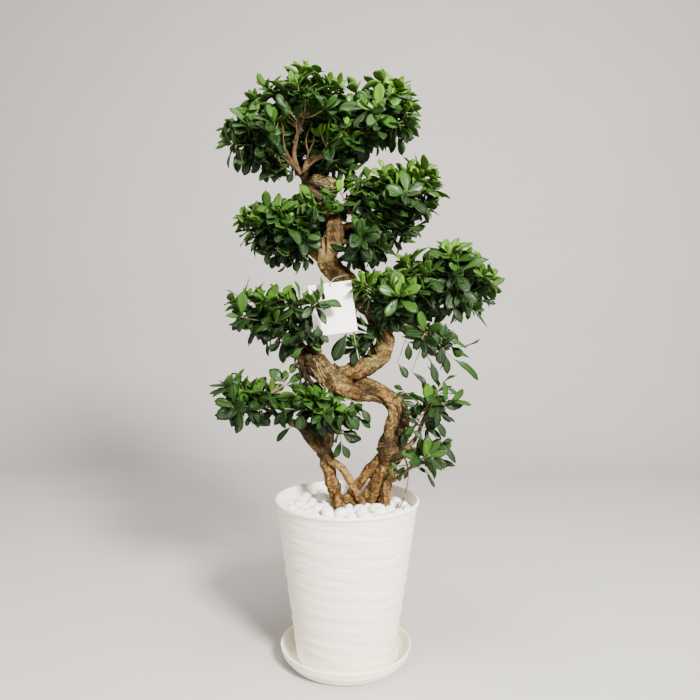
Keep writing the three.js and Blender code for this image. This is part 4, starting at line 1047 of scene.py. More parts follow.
def makeWood():
    runs = limbRuns()
    bm = skinOf(runs)
    spots = [(*step, number) for number, run in enumerate(runs) for step in stepsOf(run)]
    tree = treeOf([spot[0].xyz for spot in spots])
    mark = bm.verts.layers.float_color.new("bark")
    chart = bm.verts.layers.float_vector.new("barkChart")
    bm.normal_update()
    for vert in bm.verts:
        at = vert.co / mm
        near = [spots[i] for _, i, _ in tree.find_n(at, bark["near"])]
        push, vert[mark], vert[chart] = carvingAt(at, vert.normal, near)
        vert.co += vert.normal * push * mm
    shape = BVHTree.FromBMesh(bm)
    fine, branches = ([wobbled(centreLine(points, bark["fineStep"]), stray) for points in lines]
        for lines, stray in ((hangingRoots.values(), bark["rootStray"]), (boughs, bark["boughStray"])))
    clinging = [clungTo(points, shape) for points in threads]
    added = ((fine, 0.55, 0.15, 2), (branches, 1, 0.15, 2), (clinging, 0, -1, 1))
    for grown, age, ringed, roundness in added:
        start = len(bm.verts)
        bm.from_mesh(tubes(grown, roundness))
        bm.verts.ensure_lookup_table()
        for vert in bm.verts[start:]:
            vert[mark] = (0, ringed, age, 1)
            vert[chart] = vert.co / mm
    shadeSmooth(bm)
    shape = BVHTree.FromBMesh(bm)
    print("wood grown", len(bm.faces))
    pieceOf("banyanWood", bm, [barkFinish()], ["trunk"])
    return shape


# A root's run laid on the front of the wood
def clungTo(places, shape):
    run = []
    for point in centreLine([(x, 0, z, bark["thread"]) for x, z in places], 3):
        point.x += bark["threadStray"] * noise.noise(Vector((point.x, 40, point.z)) / 14)
        hit = shape.ray_cast(Vector((point.x, -200, point.z)) * mm, Vector((0, 1, 0)))[0]
        if hit:
            front = hit.y / mm - 0.4 - 0.6 * noise.noise(point.xyz / 7)
            run.append((point.x, front, point.z, bark["thread"]))
    return run


# The foliage. Each pad's shoots stand where the CAD model's do, and carry more and finer leaves. A pair is a
# range that is drawn from, and angles are in degrees
twig = {"heart": 0.85, "stalk": 2.2, "foot": 1.5, "tip": 1.0, "past": 2.5, "step": 6, "stray": 1.6,
    "lowest": 0.05, "highest": 0.97, "bend": 0.14, "switchStray": 1.2, "round": 1}
leaf = {"long": 8, "wide": 4, "thick": 0.6, "petiole": 0.1, "fold": 0.14, "arch": 0.14, "wave": 0.03,
    "small": 0.85, "large": 1.08, "slim": 0.88, "lean": 34, "curl": (-0.08, 0.07), "twist": (-0.35, 0.35),
    "folds": (0.5, 1.5), "bow": (-0.05, 0.05), "loneLean": 10, "loneStalk": 0.42,
    "matchLift": 0.375, "matchGap": 0.0003, "clear": 0.0012}
whorl = {"leaves": 5, "upright": 46, "flat": 84, "nudge": 0.12, "tries": 6, "seat": 1.5, "seatStep": 1.2}
growth = {"bright": 0.3, "filling": 1.1, "fillReach": 0.8, "fillVary": (0.8, 1.1), "front": -0.62,
    "facing": 560, "facingReach": 0.87, "facingVary": (0.85, 1.08), "facingSize": 1.15, "sprayBack": 14,
    "own": 0.82, "back": 3.2, "airyBack": 9, "backVary": (0.5, 1.2),
    "ringSize": (0.78, 1.1), "ringWidth": (0.82, 1),
    "young": 2, "youngSize": (0.42, 0.72), "youngWidth": (0.75, 0.95), "youngSpread": (14, 42),
    "along": 4, "oldPlace": (0.4, 0.9), "oldSize": (0.76, 1.08), "oldWidth": (0.85, 1.05),
    "oldSpread": (48, 82)}
seeds = {"shoot": 1, "tip": 50, "leaves": 900, "inside": 2000, "spray": 3000, "facing": 4000, "tone": 7000}

# Where the photo shows through to the wood: x, z, a radius, and the y in front of which no leaf stands there
clearings = ((-52, 829, 25, -6), (-80, 868, 22, -2), (-94, 912, 26, -8), (-46, 898, 18, -8),
    (-56, 372, 36, 30), (-30, 345, 32, 30), (104, 520, 20, 60), (120, 485, 16, 60), (-30, 757, 20, -8),
    (-66, 526, 17, -14), (-38, 516, 20, -14), (-88, 925, 32, -12), (-60, 905, 22, -12))

# Pads of fewer leaves with their share of the filling, pads under others with their share of young green,
# which darkens their leaves as painted shade from the pads above, and the pads whose leaves sit apart along
# thin twigs
sparse = {"fourthLeft": 0.35, "fourthMiddle": 0.6, "thirdLeft": 0.75}
shaded = {"fourthLeft": 0.35, "thirdLeft": 0.6, "secondLow": 0.6}
airy = ("thirdHanging", "fifthUpper", "fifthLower")

# The blades' tones, each from its darkest leaf to its brightest, and the twigs', from dark to pale
leafTones = {
    "old": ((0, (0.002, 0.01, 0.002)), (0.4, (0.005, 0.02, 0.003)), (0.75, (0.009, 0.038, 0.004)),
        (1, (0.018, 0.066, 0.005))),
    "fresh": ((0, (0.022, 0.1, 0.001)), (0.5, (0.05, 0.165, 0.002)), (1, (0.1, 0.25, 0.003))),
}
twigTones = {
    "greenTwig": ((0.25, (0.06, 0.045, 0.018)), (0.5, (0.15, 0.125, 0.05)), (0.75, (0.25, 0.235, 0.095))),
    "brownTwig": ((0.25, (0.035, 0.02, 0.008)), (0.5, (0.09, 0.056, 0.024)), (0.75, (0.17, 0.12, 0.055))),
}


def diceFor(index, use, number=0):
    return dice(index * 100 + seeds[use] + number)


# The way out from a pad's middle, for a turn and a height from -1 to 1
def bearing(turn, height):
    return Vector((*(math.sqrt(1 - height * height) * Vector((math.cos(turn), math.sin(turn)))), height))


def shootsOf(pad, index):
    centre, reach = Vector(pad["centre"]), Vector(pad["reach"])
    end = Vector(pad["branch"][-1][:3]).lerp(centre, twig["heart"])
    spots = []
    for i in range(pad["shoots"]):
        roll = diceFor(index, "shoot", i)
        height = 1 - ((i + 0.5) / pad["shoots"]) * (1 - pad["low"])
        out = bearing(i * golden + index * 1.7 + 0.5 * roll(), height)
        spots.append((out * reach * (0.98 + 0.12 * roll()) + centre, out, roll))
    for i, point in enumerate(pad.get("tips", [])):
        spots.append((Vector(point), (Vector(point) - end).normalized(), diceFor(index, "tip", i)))
    return [shootTo(pad, tip, out, roll) for tip, out, roll in spots]


# The twig that reaches a tip from the pad's stalk
def shootTo(pad, tip, out, roll):
    start = Vector(pad["branch"][-1][:3])
    stalk = start.lerp(Vector(pad["centre"]), twig["heart"]) - start
    along = (tip - start).dot(stalk) / stalk.length_squared
    root = start + stalk * min(twig["highest"], max(twig["lowest"], along * 0.7 - 0.1 + 0.1 * roll()))
    run = tip - root
    axis = (out * 0.7 + run.normalized() * 0.5 + up * pad["rise"]).normalized()
    bend = root + run * 0.5 - axis * (twig["bend"] * run.length)
    return {"root": root, "bend": bend, "tip": tip, "axis": axis, "roll": roll}


# A direction spread from an axis by some degrees, at a turn round it
def spreadFrom(axis, azimuth, degrees):
    side = Vector((axis.y, -axis.x, 0.3)).cross(axis).normalized()
    away = Matrix.Rotation(azimuth, 3, axis) @ side
    return axis * math.cos(math.radians(degrees)) + away * math.sin(math.radians(degrees))


# The CAD model's leaves round a tip, for a turn of them all
def whorlOf(shoot, pad):
    axis, roll = shoot["axis"], shoot["roll"]
    start = roll() * fullTurn
    drawn = [(roll(), roll(), roll(), roll()) for _ in range(whorl["leaves"])]
    sector = fullTurn / whorl["leaves"]

    def at(turn):
        leaves = []
        for i, (nudge, splay, big, broad) in enumerate(drawn):
            azimuth = start + turn + (i + whorl["nudge"] * (nudge - 0.5)) * sector
            ahead = spreadFrom(axis, azimuth, mix(whorl["upright"], whorl["flat"], splay))
            size = mix(leaf["small"], leaf["large"], big)
            width = pad["leaf"][1] * size * mix(leaf["slim"], leaf["large"], broad)
            leaves.append({"base": shoot["tip"], "ahead": ahead, "axis": axis,
                "length": pad["leaf"][0] * size, "width": width})
        return leaves

    return at


def facingOf(one):
    return (one["axis"] - one["ahead"] * one["axis"].dot(one["ahead"])).normalized()


def leafTip(one):
    return one["base"] + one["ahead"] * one["length"] - facingOf(one) * leaf["arch"] * one["length"]


# Which of the CAD model's leaves are there: those whose tips its own mesh has
def keptLeaves(shoot, pad, corners):
    at = whorlOf(shoot, pad)
    sector = fullTurn / whorl["leaves"]

    def meets(one):
        return corners.find((leafTip(one) + facingOf(one) * leaf["matchLift"]) * mm)[2] < leaf["matchGap"]

    found = [[one for one in at(i / whorl["tries"] * sector) if meets(one)] for i in range(whorl["tries"])]
    return max(found, key=len)


def leafSeed():
    bm = bmesh.new()
    bmesh.ops.create_grid(bm, x_segments=leaf["long"], y_segments=leaf["wide"], size=0.5)
    under = bmesh.ops.duplicate(bm, geom=[*bm.verts, *bm.edges, *bm.faces])["geom"]
    flipped = [item for item in under if isinstance(item, bmesh.types.BMFace)]
    bmesh.ops.reverse_faces(bm, faces=flipped)
    tone = bm.loops.layers.float_color.new("leafTone")
    chart = bm.loops.layers.uv.new("leafChart")
    for vert in bm.verts:
        rim = max(abs(vert.co.x), abs(vert.co.y)) > 0.499
        vert.co.z = 0 if rim else 1
    for vert in vertsOf(under):
        vert.co.z = -vert.co.z
    shadeSmooth(bm)
    for face in bm.faces:
        for loop in face.loops:
            loop[tone] = (0, 0, 0, 1)
            loop[chart].uv = (loop.vert.co.x + 0.5, loop.vert.co.y + 0.5)
    for face in flipped:
        for loop in face.loops:
            loop[tone] = (0, 0, 1, 1)
    bmesh.ops.remove_doubles(bm, verts=bm.verts, dist=1e-4)
    return meshOf("leafSeed", bm)


# One leaf: the seed grid spread over a blade on its short stalk, widest past its middle, folded along the
# midrib, arched over and leaning to one side
def addLeaf(bm, seed, one, roll):
    ahead = one["ahead"]
    lean = math.radians(one.get("lean", leaf["lean"]) * (roll() + roll() - 1))
    facing = Matrix.Rotation(lean, 3, ahead) @ facingOf(one)
    across = facing.cross(ahead)
    length, half, phase = one["length"], one["width"] / 2, anyTurn * roll()
    curl, twist = mix(*leaf["curl"], roll()), mix(*leaf["twist"], roll())
    fold, bow = leaf["fold"] * mix(*leaf["folds"], roll()), mix(*leaf["bow"], roll())
    tone = bm.loops.layers.float_color["leafTone"]
    start, faces = len(bm.verts), len(bm.faces)
    bm.from_mesh(seed)
    bm.verts.ensure_lookup_table()
    bm.faces.ensure_lookup_table()
    for vert in bm.verts[start:]:
        t, v, layer = vert.co.x + 0.5, vert.co.y * 2, vert.co.z
        t = t + 0.045 * math.sin(fullTurn * t)
        blade = max(0, (t - leaf["petiole"]) / (1 - leaf["petiole"]))
        spread = max(0.045, math.sin(math.pi * blade ** 1.25) ** 0.66 if 0 < blade < 1 else 0)
        y = v * half * spread
        lift = fold * abs(y) * 2 - (leaf["arch"] + curl) * t * t * length
        lift += leaf["wave"] * length * v * v * spread * math.sin(8 * t + phase + 1.4 * v)
        place = ahead * (t * length) + across * (y + bow * t * t * length)
        vert.co = (one["base"] + place + facing * (lift + twist * t * t * y + layer * leaf["thick"] / 2)) * mm
    for face in bm.faces[faces:]:
        for loop in face.loops:
            loop[tone] = (one["young"], one["own"], loop[tone][2], 1)


def leafFinish():
    paint = Paint("banyanLeaf", Coat_Roughness=0.2, IOR=1.45, Specular_IOR_Level=0.24)
    young, own, under = paint.marks("leafTone")
    chart = paint.node("ShaderNodeUVMap", {"uv_map": "leafChart"})
    along, across = paint.axis(0, chart), paint.axis(1, chart)
    off = abs(across - 0.5) * 2
    rib = 1 - (off / (0.07 - 0.05 * along)).between(0.3, 1)
    veins = ((along * 13 - off * 4.2) * 6.2832).wave() * 0.5 + 0.5
    veins = veins.between(0.75, 1) * (1 - off.between(0.75, 1)) * 0.2
    cloud = paint.noise(60, 3, 0.6)
    front = paint.layered(paint.ramp(own, leafTones["old"]), (young, paint.ramp(own, leafTones["fresh"])),
        (cloud.between(0.4, 0.75) * 0.3, (0.014, 0.045, 0.005)), (veins, (0.05, 0.12, 0.015)),
        (rib * 0.42, (0.11, 0.21, 0.03)), (off.between(0.88, 1) * 0.2, (0.07, 0.15, 0.015)))
    back = paint.layered(paint.blend(young, (0.014, 0.04, 0.005), (0.06, 0.15, 0.01)),
        (rib * 0.5, (0.1, 0.18, 0.035)), (veins, (0.045, 0.09, 0.015)))
    relief = veins * 1.2 - rib * 0.9 + cloud * 0.35
    rough = 0.45 + 0.2 * under + 0.14 * cloud
    return paint.finish(Base_Color=paint.blend(under, front, back), Roughness=rough,
        Coat_Weight=0.09 - 0.08 * under, bump=relief, distance=0.0005, strength=0.6)


def twigFinish(name, tones):
    paint = Paint(name)
    cloud = paint.noise(120, 4, 0.6)
    ringed = paint.noise(300, 2, 0.5, paint.place((0.4, 0.4, 1.6)))
    colour = paint.blend(ringed.between(0.58, 0.7) * 0.5, paint.ramp(cloud, tones), (0.07, 0.05, 0.025))
    rough = 0.55 + 0.25 * cloud
    return paint.finish(Base_Color=colour, Roughness=rough, bump=ringed, distance=0.0006, strength=0.6)


# The points of a twig from its root over its bend to a little past its tip
def twigRun(shoot):
    knots = [(*shoot["root"], twig["foot"] * 1.1), (*shoot["bend"], (twig["foot"] + twig["tip"]) / 2),
        (*(shoot["tip"] + shoot["axis"] * twig["past"]), twig["tip"] * 0.8)]
    return centreLine(knots, twig["step"])


# Whether a leaf stands clear of the clearings, the wood, the card and the pot
def clearOf(one, shapes):
    across = facingOf(one).cross(one["ahead"])
    base, tip = one["base"], leafTip(one)
    for x, z, radius, front in clearings:
        for at in (tip, base.lerp(tip, 0.55)):
            if at.y < front and math.hypot(at.x - x, at.z - z) < radius:
                return False
    for share in (-0.36, 0, 0.36):  # along the blade's two sides and its midrib
        start = base + one["ahead"] * (0.22 * one["length"]) + across * (share * one["width"])
        run = tip + across * (share * 0.4 * one["width"]) - start
        for shape in shapes:
            if shape.ray_cast(start * mm, run.normalized(), run.length * mm)[0]:
                return False
    return all(shape.find_nearest(base.lerp(tip, share) * mm, leaf["clear"])[0] is None
        for shape in shapes for share in (0.5, 1))


# A leaf somewhere on a shoot, spread from the shoot's direction there
def sideLeaf(at, axis, azimuth, spread, length, width, young):
    ahead = spreadFrom(axis, azimuth, spread).normalized()
    return {"base": at, "ahead": ahead, "axis": axis, "length": length, "width": width, "young": young}


# Shoots inside the pad, all round
def insideShoots(pad, index, count):
    shoots = []
    for i in range(count):
        roll = diceFor(index, "inside", i)
        height = 1 - ((i + 0.5) / count) * (1 - pad["low"] * 0.9)
        out = bearing(i * golden + index * 2.3 + 1.9, height)
        reach = Vector(pad["reach"]) * growth["fillReach"] * mix(*growth["fillVary"], roll())
        if out.y > growth["front"]:
            shoots.append(shootTo(pad, out * reach + Vector(pad["centre"]), out, roll))
    return shoots


# Shoots that face the front, set apart like seeds in a flower's head
def facingShoots(pad, index, count):
    shoots = []
    for i in range(count):
        roll = diceFor(index, "facing", i)
        out = math.sqrt((i + 0.5) / count) * 0.96
        turn = i * golden + index * 1.3
        side = Vector((out * math.cos(turn), -math.sqrt(1 - out * out), out * math.sin(turn)))
        reach = Vector(pad["reach"]) * growth["facingReach"] * mix(*growth["facingVary"], roll())
        shoot = shootTo(pad, side * reach + Vector(pad["centre"]), side, roll)
        own = Vector((mix(-0.8, 0.8, roll()), -0.1, mix(0.2, 1, roll())))
        shoot["axis"] = (side * 0.5 + own).normalized()
        shoot["size"] = growth["facingSize"]
        shoots.append(shoot)
    return shoots


def sprayShoots(name, pad, index):
    shoots = []
    for i, (x, y, z, *rest) in enumerate(sprays[name]):
        out = (Vector((x, y, z)) - Vector(pad["centre"])).normalized()
        shoot = shootTo(pad, Vector((x, y, z)) - out * growth["sprayBack"], out, diceFor(index, "spray", i))
        shoot["bright"] = rest[0] if rest else 0
        if rest[1:]:
            shoot["axis"] = Vector(rest[1:]).normalized()
        shoots.append(shoot)
    return shoots


# A pad's shoots: the CAD model's with the leaves that it has, and further ones
def allShoots(name, pad, index):
    corners = treeOf([vertex.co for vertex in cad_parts["leaves_" + name].data.vertices])
    shoots = shootsOf(pad, index)
    for shoot in shoots:
        shoot["leaves"] = keptLeaves(shoot, pad, corners)
    inside, facing, share = 1, 0, sparse.get(name, 1)
    if name not in airy:
        inside = round(pad["shoots"] * growth["filling"] * share)
        facing = round(pad["reach"][0] * pad["reach"][2] / growth["facing"] * share)
    filling = [*insideShoots(pad, index, inside), *facingShoots(pad, index, facing),
        *sprayShoots(name, pad, index)]
    return shoots + [{**shoot, "leaves": []} for shoot in filling]


# A shoot's ring of leaves, the CAD model's own or a new one, seated a little apart down its twig
def ringLeaves(pad, shoot, roll, bright, apart):
    back = (shoot["tip"] - shoot["bend"]).normalized()
    ring = shoot["leaves"] or whorlOf(shoot, pad)(0)
    for i, one in enumerate(ring):
        step = apart * i * mix(*growth["backVary"], roll())
        one["length"] *= mix(growth["own"], 1, roll())
        one["width"] *= mix(growth["own"] - 0.1, 0.95, roll())
        one["young"] = bright * mix(0.3, 1, roll()) + 0.12 * roll()
        if not shoot["leaves"]:
            size = mix(*growth["ringSize"], roll()) * shoot.get("size", 1)
            one["length"] *= size
            one["width"] *= size * mix(*growth["ringWidth"], roll())
        one["base"] = one["base"] - back * step
    return ring


# Small young leaves that stand up at a shoot's tip
def youngLeaves(pad, shoot, roll, bright, start, count):
    leaves = []
    for i in range(count):
        size = mix(*growth["youngSize"], roll())
        fresh = bright * mix(0.6, 1, roll()) + mix(0, 0.35, roll())
        at = shoot["tip"] + shoot["axis"] * (whorl["seat"] + whorl["seatStep"] * i)
        leaves.append(sideLeaf(at, shoot["axis"], start + i * golden, mix(*growth["youngSpread"], roll()),
            pad["leaf"][0] * size, pad["leaf"][1] * size * mix(*growth["youngWidth"], roll()), fresh))
    return leaves


# Older leaves down a shoot's twig
def olderLeaves(pad, shoot, roll, bright, start, count):
    root, bend, tip = shoot["root"], shoot["bend"], shoot["tip"]
    lean = (shoot["axis"] + (tip - root).normalized()).normalized()
    leaves = []
    for i in range(count):
        share = mix(*growth["oldPlace"], (i + roll() * 0.6) / growth["along"])
        at = root.lerp(bend, share).lerp(bend.lerp(tip, share), share)
        size = mix(*growth["oldSize"], roll())
        leaves.append(sideLeaf(at, lean, start + 1.1 + i * golden, mix(*growth["oldSpread"], roll()),
            pad["leaf"][0] * size, pad["leaf"][1] * size * mix(*growth["oldWidth"], roll()),
            0.4 * bright * roll() + 0.08 * roll()))
    return leaves


# All the leaves of a shoot that stand clear
def shootLeaves(name, pad, shoot, roll, shapes):
    bright = shoot.get("bright", 0.5 * (roll() < growth["bright"]))
    loose = name in airy or name in sparse
    start = anyTurn * roll()
    leaves = [*ringLeaves(pad, shoot, roll, bright, growth["airyBack" if name in airy else "back"]),
        *youngLeaves(pad, shoot, roll, bright, start, growth["young"] - loose),
        *olderLeaves(pad, shoot, roll, bright, start, growth["along"] - 2 * loose)]
    for one in leaves:
        # Painted shade: less young green on the pads under others
        one["young"] *= shaded.get(name, 1)
    return [one for one in leaves if clearOf(one, shapes)]


# The leaves that the table sets one by one
def loneLeaves(name):
    leaves = []
    for x, z, endX, endZ, y, width, young in lone.get(name, []):
        run = Vector((endX - x, -4, endZ - z))
        leaves.append({"base": Vector((x, y, z)), "ahead": run.normalized(), "axis": Vector((0, -0.75, 0.66)),
            "length": run.length, "width": width, "young": young, "lean": leaf["loneLean"]})
    return leaves


# A thin stalk from each of these leaves to the twig nearest to it
def petiolesOf(leaves, stalks):
    tree = treeOf([Vector(point[:3]) for run in stalks for point in run])
    thin = leaf["loneStalk"]
    runs = []
    for one in leaves:
        near = tree.find(one["base"])[0]
        middle = near.lerp(one["base"], 0.5) - one["ahead"] * (0.12 * (one["base"] - near).length)
        end = one["base"] + one["ahead"] * 3
        runs.append(centreLine([(*near, thin * 1.2), (*middle, thin), (*end, thin * 0.8)], 5))
    return runs


# The pad's stalk, the twigs that spring from it and its long thin twigs, as wobbly runs
def stalkRuns(name, pad, shoots):
    start = Vector(pad["branch"][-1])
    end = start.xyz.lerp(Vector(pad["centre"]), twig["heart"])
    knots = [start, (*start.xyz.lerp(end, 0.5), mix(start.w, twig["stalk"], 0.5)), (*end, twig["stalk"])]
    runs = [wobbled(run, twig["stray"]) for run in (centreLine(knots, twig["step"]), *map(twigRun, shoots))]
    for points in switches.get(name, []):
        knots = [(*point, mix(1.0, 0.6, i / len(points))) for i, point in enumerate(points)]
        runs.append(wobbled(centreLine(knots, twig["step"]), twig["switchStray"]))
    return runs


# A pad's leaves in one bmesh, younger and paler towards its top
def leafyMesh(leaves, pad, seed, roll):
    bm = bmesh.new()
    bm.loops.layers.float_color.new("leafTone")
    bm.loops.layers.uv.new("leafChart")
    lowest, highest = (pad["centre"][2] + way * (pad["reach"][2] + 10) for way in (-1, 1))
    for one in leaves:
        height = (leafTip(one).z - lowest) / (highest - lowest)
        one["own"] = min(1, max(0, mix(0.1, 0.75, height) + 0.5 * (roll() - 0.5)))
        one["young"] = min(1, max(0, one["young"] + 0.35 * (height - 0.6)))
        addLeaf(bm, seed, one, roll)
    return bm


def makeFoliage(shapes):
    seed = leafSeed()
    paints = [leafFinish(), *(twigFinish(name, tones) for name, tones in twigTones.items())]
    total = 0
    for index, (name, pad) in enumerate(pads.items()):
        shoots, apart = allShoots(name, pad, index), loneLeaves(name)
        leaves = [one for number, shoot in enumerate(shoots)
            for one in shootLeaves(name, pad, shoot, diceFor(index, "leaves", number), shapes)] + apart
        bm = leafyMesh(leaves, pad, seed, diceFor(index, "tone"))
        stalks = stalkRuns(name, pad, shoots)
        for material, runs in ((2, stalks[:1]), (1, stalks[1:] + petiolesOf(apart, stalks))):
            start = len(bm.faces)
            bm.from_mesh(tubes(runs, twig["round"]))
            bm.faces.ensure_lookup_table()
            for face in bm.faces[start:]:
                face.smooth = True
                face.material_index = material
        total += len(leaves)
        print("pad", name, len(shoots), "shoots", len(leaves), "leaves", len(bm.faces), "faces")
        pieceOf("foliage" + name[0].upper() + name[1:], bm, paints, ["leaves_" + name])
    print("leaves in all", total)


# The card that hangs from the stem, plain but for faint ruled lines, and its tie
card = {"width": 74, "height": 87, "thick": 0.8, "hole": 1.8, "drop": 5, "place": (-27, -32, 621), "roll": 8,
    "yaw": 5, "curl": 0.9, "lines": 7, "margin": 0.1, "foot": 0.14, "ruled": 0.66,
    "white": (0.97, 0.955, 0.92), "shade": (0.92, 0.9, 0.86), "fibre": (0.6, 0.57, 0.5),
    "rule": (0.35, 0.38, 0.42), "border": (0.3, 0.34, 0.38)}
tie = {"radius": 0.6, "lift": 0.8, "loop": (-9, 10, 674), "round": 19.5, "slant": 44, "points": 7, "from": 30,
    "to": 320, "start": ((0, 7, -3), (0, 3, 0), (0, -3, 0), (2, -5, 5), (8, -2, 12)), "end": (6, 8, 2),
    "tail": ((3, -22, 606), (6, -25, 592), (8, -26, 582), (11, -26, 567), (14.5, -24, 550), (18, -19, 534)),
    "dark": (0.13, 0.115, 0.065), "pale": (0.3, 0.27, 0.17), "bare": (0.55, 0.52, 0.4)}


def cardTurn(size):
    roll = Matrix.Rotation(math.radians(-card["roll"]), size, "Y")
    return Matrix.Rotation(math.radians(card["yaw"]), size, "Z") @ roll


def hung(point):  # from the card's own middle to where it hangs
    return cardTurn(3) @ Vector(point) + Vector(card["place"])


def cardHole():
    return hung((0, 0, card["height"] / 2 - card["drop"]))


def cardFinish():
    paint = Paint("ruledCard", Subsurface_Weight=0.04, Subsurface_Scale=0.001)
    chart = paint.node("ShaderNodeUVMap", {"uv_map": "cardFace"})
    u, v = paint.axis(0, chart), paint.axis(1, chart)
    fibre = paint.noise(700, 4, 0.7)
    low, high = card["margin"] + 0.05, 0.95 - card["margin"]
    inside = (u - low).between(0, 0.004) * (high - u).between(0, 0.004)
    inside *= (v - 0.12).between(0, 0.004) * (0.8 - v).between(0, 0.004)
    rows = abs(((v - card["foot"]) * card["lines"] / card["ruled"]).fraction() - 0.5)
    rules = (1 - rows.between(0.02, 0.05)) * inside
    edge = abs(u - 0.5).over(abs(v - 0.5))
    border = (1 - abs(edge - 0.452).between(0.0015, 0.005)) * 0.8
    colour = paint.layered(paint.blend(paint.noise(35, 3, 0.6), card["white"], card["shade"]),
        (fibre.between(0.6, 0.8) * 0.12, card["fibre"]), (rules * 0.4, card["rule"]),
        (border * 0.45, card["border"]))
    rough = 0.55 + 0.2 * fibre
    return paint.finish(Base_Color=colour, Roughness=rough, bump=fibre, distance=0.0002, strength=0.35)


def makeCard():
    width, height, thick = card["width"], card["height"], card["thick"]
    upright = Matrix.Rotation(math.pi / 2, 3, "X")
    bm = bmesh.new()
    bmesh.ops.create_grid(bm, x_segments=16, y_segments=18, size=0.5)
    bmesh.ops.scale(bm, vec=(width, height, 1), verts=bm.verts)
    bmesh.ops.rotate(bm, cent=(0, 0, 0), matrix=upright, verts=bm.verts)
    back = bmesh.ops.duplicate(bm, geom=[*bm.verts, *bm.edges, *bm.faces])["geom"]
    bmesh.ops.translate(bm, vec=(0, thick, 0), verts=vertsOf(back))
    bmesh.ops.bridge_loops(bm, edges=[edge for edge in bm.edges if edge.is_boundary])
    bmesh.ops.recalc_face_normals(bm, faces=bm.faces)
    chart = bm.loops.layers.uv.new("cardFace")
    for face in bm.faces:
        face.smooth = False
        for loop in face.loops:
            x, _, z = loop.vert.co
            loop[chart].uv = (x / width + 0.5, z / height + 0.5) if face.normal.y < -0.9 else (-1, -1)
    for vert in bm.verts:
        x, y, z = vert.co
        y += card["curl"] * ((x / 37) ** 2 * 0.6 - (z / 43) * 0.5 * abs(x / 37)) - thick / 2
        vert.co = hung((x, y, z)) * mm
    piece = pieceOf("hangingCard", bm, [cardFinish()], ["tag"])
    punch = bmesh.new()
    place = Matrix.Translation(cardHole() * mm) @ cardTurn(4) @ upright.to_4x4()
    size = card["hole"] * mm
    bmesh.ops.create_cone(punch, cap_ends=True, segments=20, radius1=size, radius2=size, depth=0.006,
        matrix=place)
    cut(piece, punch)
    return piece


def tieFinish():
    paint = Paint("cardTie", Coat_Weight=0.1)
    twist = paint.noise(500, 2, 0.5, paint.place((1, 1, 2)))
    colour = paint.layered(paint.blend(twist, tie["dark"], tie["pale"]),
        (1 - paint.axis(2).between(0.552, 0.562), tie["bare"]))
    rough = 0.45 + 0.2 * twist
    return paint.finish(Base_Color=colour, Roughness=rough, bump=twist, distance=0.0004, strength=0.6)


def makeTie():
    hole = cardHole() + up * tie["lift"]
    slant = math.radians(tie["slant"])
    points = [hole + Vector(step) for step in tie["start"]]
    for i in range(tie["points"]):
        turn = math.radians(mix(tie["from"], tie["to"], i / (tie["points"] - 1)))
        over, front = tie["round"] * math.sin(turn), tie["round"] * math.cos(turn)
        points.append(Vector(tie["loop"]) + Vector((over * math.cos(slant), -front, over * math.sin(slant))))
    points.append(hole + Vector(tie["end"]))
    runs = [centreLine([(*point, tie["radius"]) for point in line], step)
        for line, step in ((points, 1.6), (tie["tail"], 4))]
    bm = bmesh.new()
    bm.from_mesh(tubes(runs, 3))
    shadeSmooth(bm)
    return pieceOf("cardTie", bm, [tieFinish()], ["tag_wire"])


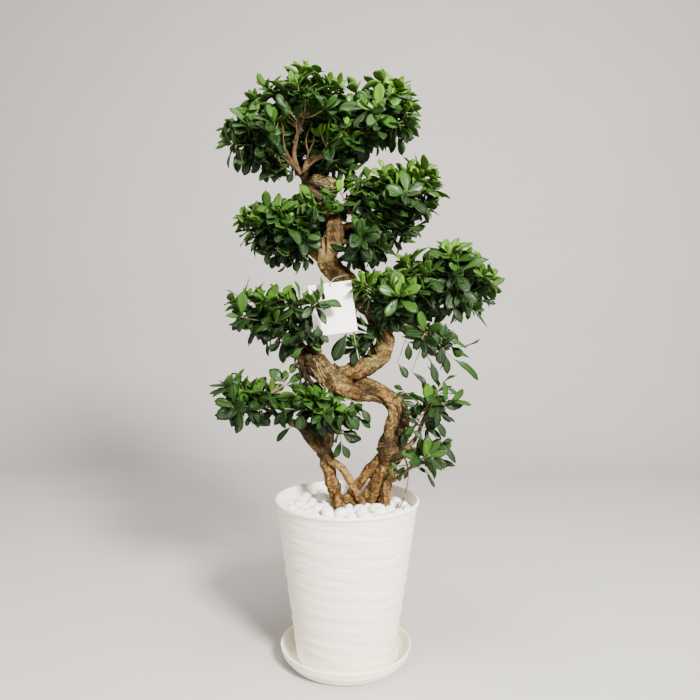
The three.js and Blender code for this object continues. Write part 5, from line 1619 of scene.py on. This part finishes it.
# A pale floor that sweeps up behind, and soft lights: the key from the right and above, as in the photo. Its
# lengths are in metres, and each lamp has its place, width and power
studio = {"sky": (0.86, 0.84, 0.82), "skyPower": 0.3, "wide": 12, "front": 5, "back": 1.5, "curve": 0.7,
    "tall": 4.5, "under": 0.0005, "floor": (0.52, 0.505, 0.49), "cloud": (0.46, 0.445, 0.43),
    "glow": (1, 0.955, 0.89), "aim": (0, 0, 0.55), "lamps": {"key": ((1.25, -2.2, 2.0), 0.7, 400),
        "fill": ((-1.9, -1.8, 1.2), 1.6, 30), "top": ((-0.1, -0.3, 2.5), 0.8, 60)}}


def makeSweep():
    arc = [(studio["back"] + studio["curve"] * math.sin(turn), studio["curve"] * (1 - math.cos(turn)))
        for turn in (math.pi / 2 * i / 16 for i in range(17))]
    places = [(-studio["front"], 0), *arc, (arc[-1][0], studio["tall"])]
    bm = bmesh.new()
    line = [bm.verts.new((-studio["wide"] / 2, y, z)) for y, z in places]
    edges = [bm.edges.new(pair) for pair in zip(line, line[1:])]
    side = bmesh.ops.extrude_edge_only(bm, edges=edges)["geom"]
    bmesh.ops.translate(bm, vec=(studio["wide"], 0, 0), verts=vertsOf(side))
    bmesh.ops.recalc_face_normals(bm, faces=bm.faces)
    shadeSmooth(bm)
    return meshOf("floor", bm)


def makeStudio():
    floor = addObject("floor", makeSweep())
    paint = Paint("paleFloor", Roughness=0.75)
    colour = paint.blend(paint.noise(2.2, 4, 0.6), studio["floor"], studio["cloud"])
    floor.data.materials.append(paint.finish(Base_Color=colour))
    floor.location.z = -studio["under"]
    world = bpy.data.worlds.new("studio")
    world.use_nodes = True
    backdrop = world.node_tree.nodes["Background"]
    backdrop.inputs["Color"].default_value = (*studio["sky"], 1)
    backdrop.inputs["Strength"].default_value = studio["skyPower"]
    bpy.context.scene.world = world
    for name, (place, size, power) in studio["lamps"].items():
        lamp = addObject(name, bpy.data.lights.new(name, "AREA"))
        lamp.data.shape = "DISK"
        lamp.data.size = size
        lamp.data.energy = power
        lamp.data.color = studio["glow"]
        lamp.location = place
        lamp.rotation_euler = (Vector(studio["aim"]) - Vector(place)).to_track_quat("-Z", "Y").to_euler()


makeStudio()
print("studio lit")
potPiece = makePot()
makeSaucer()
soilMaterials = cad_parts["soil"].data.materials
soilMaterials.clear()
soilMaterials.append(soilFinish())
print("pot and saucer turned")
woodShape = makeWood()
makePebbles(woodShape)
cardPiece = makeCard()
makeTie()
print("card hung")
graph = bpy.context.evaluated_depsgraph_get()
makeFoliage([woodShape, BVHTree.FromObject(cardPiece, graph), BVHTree.FromObject(potPiece, graph)])
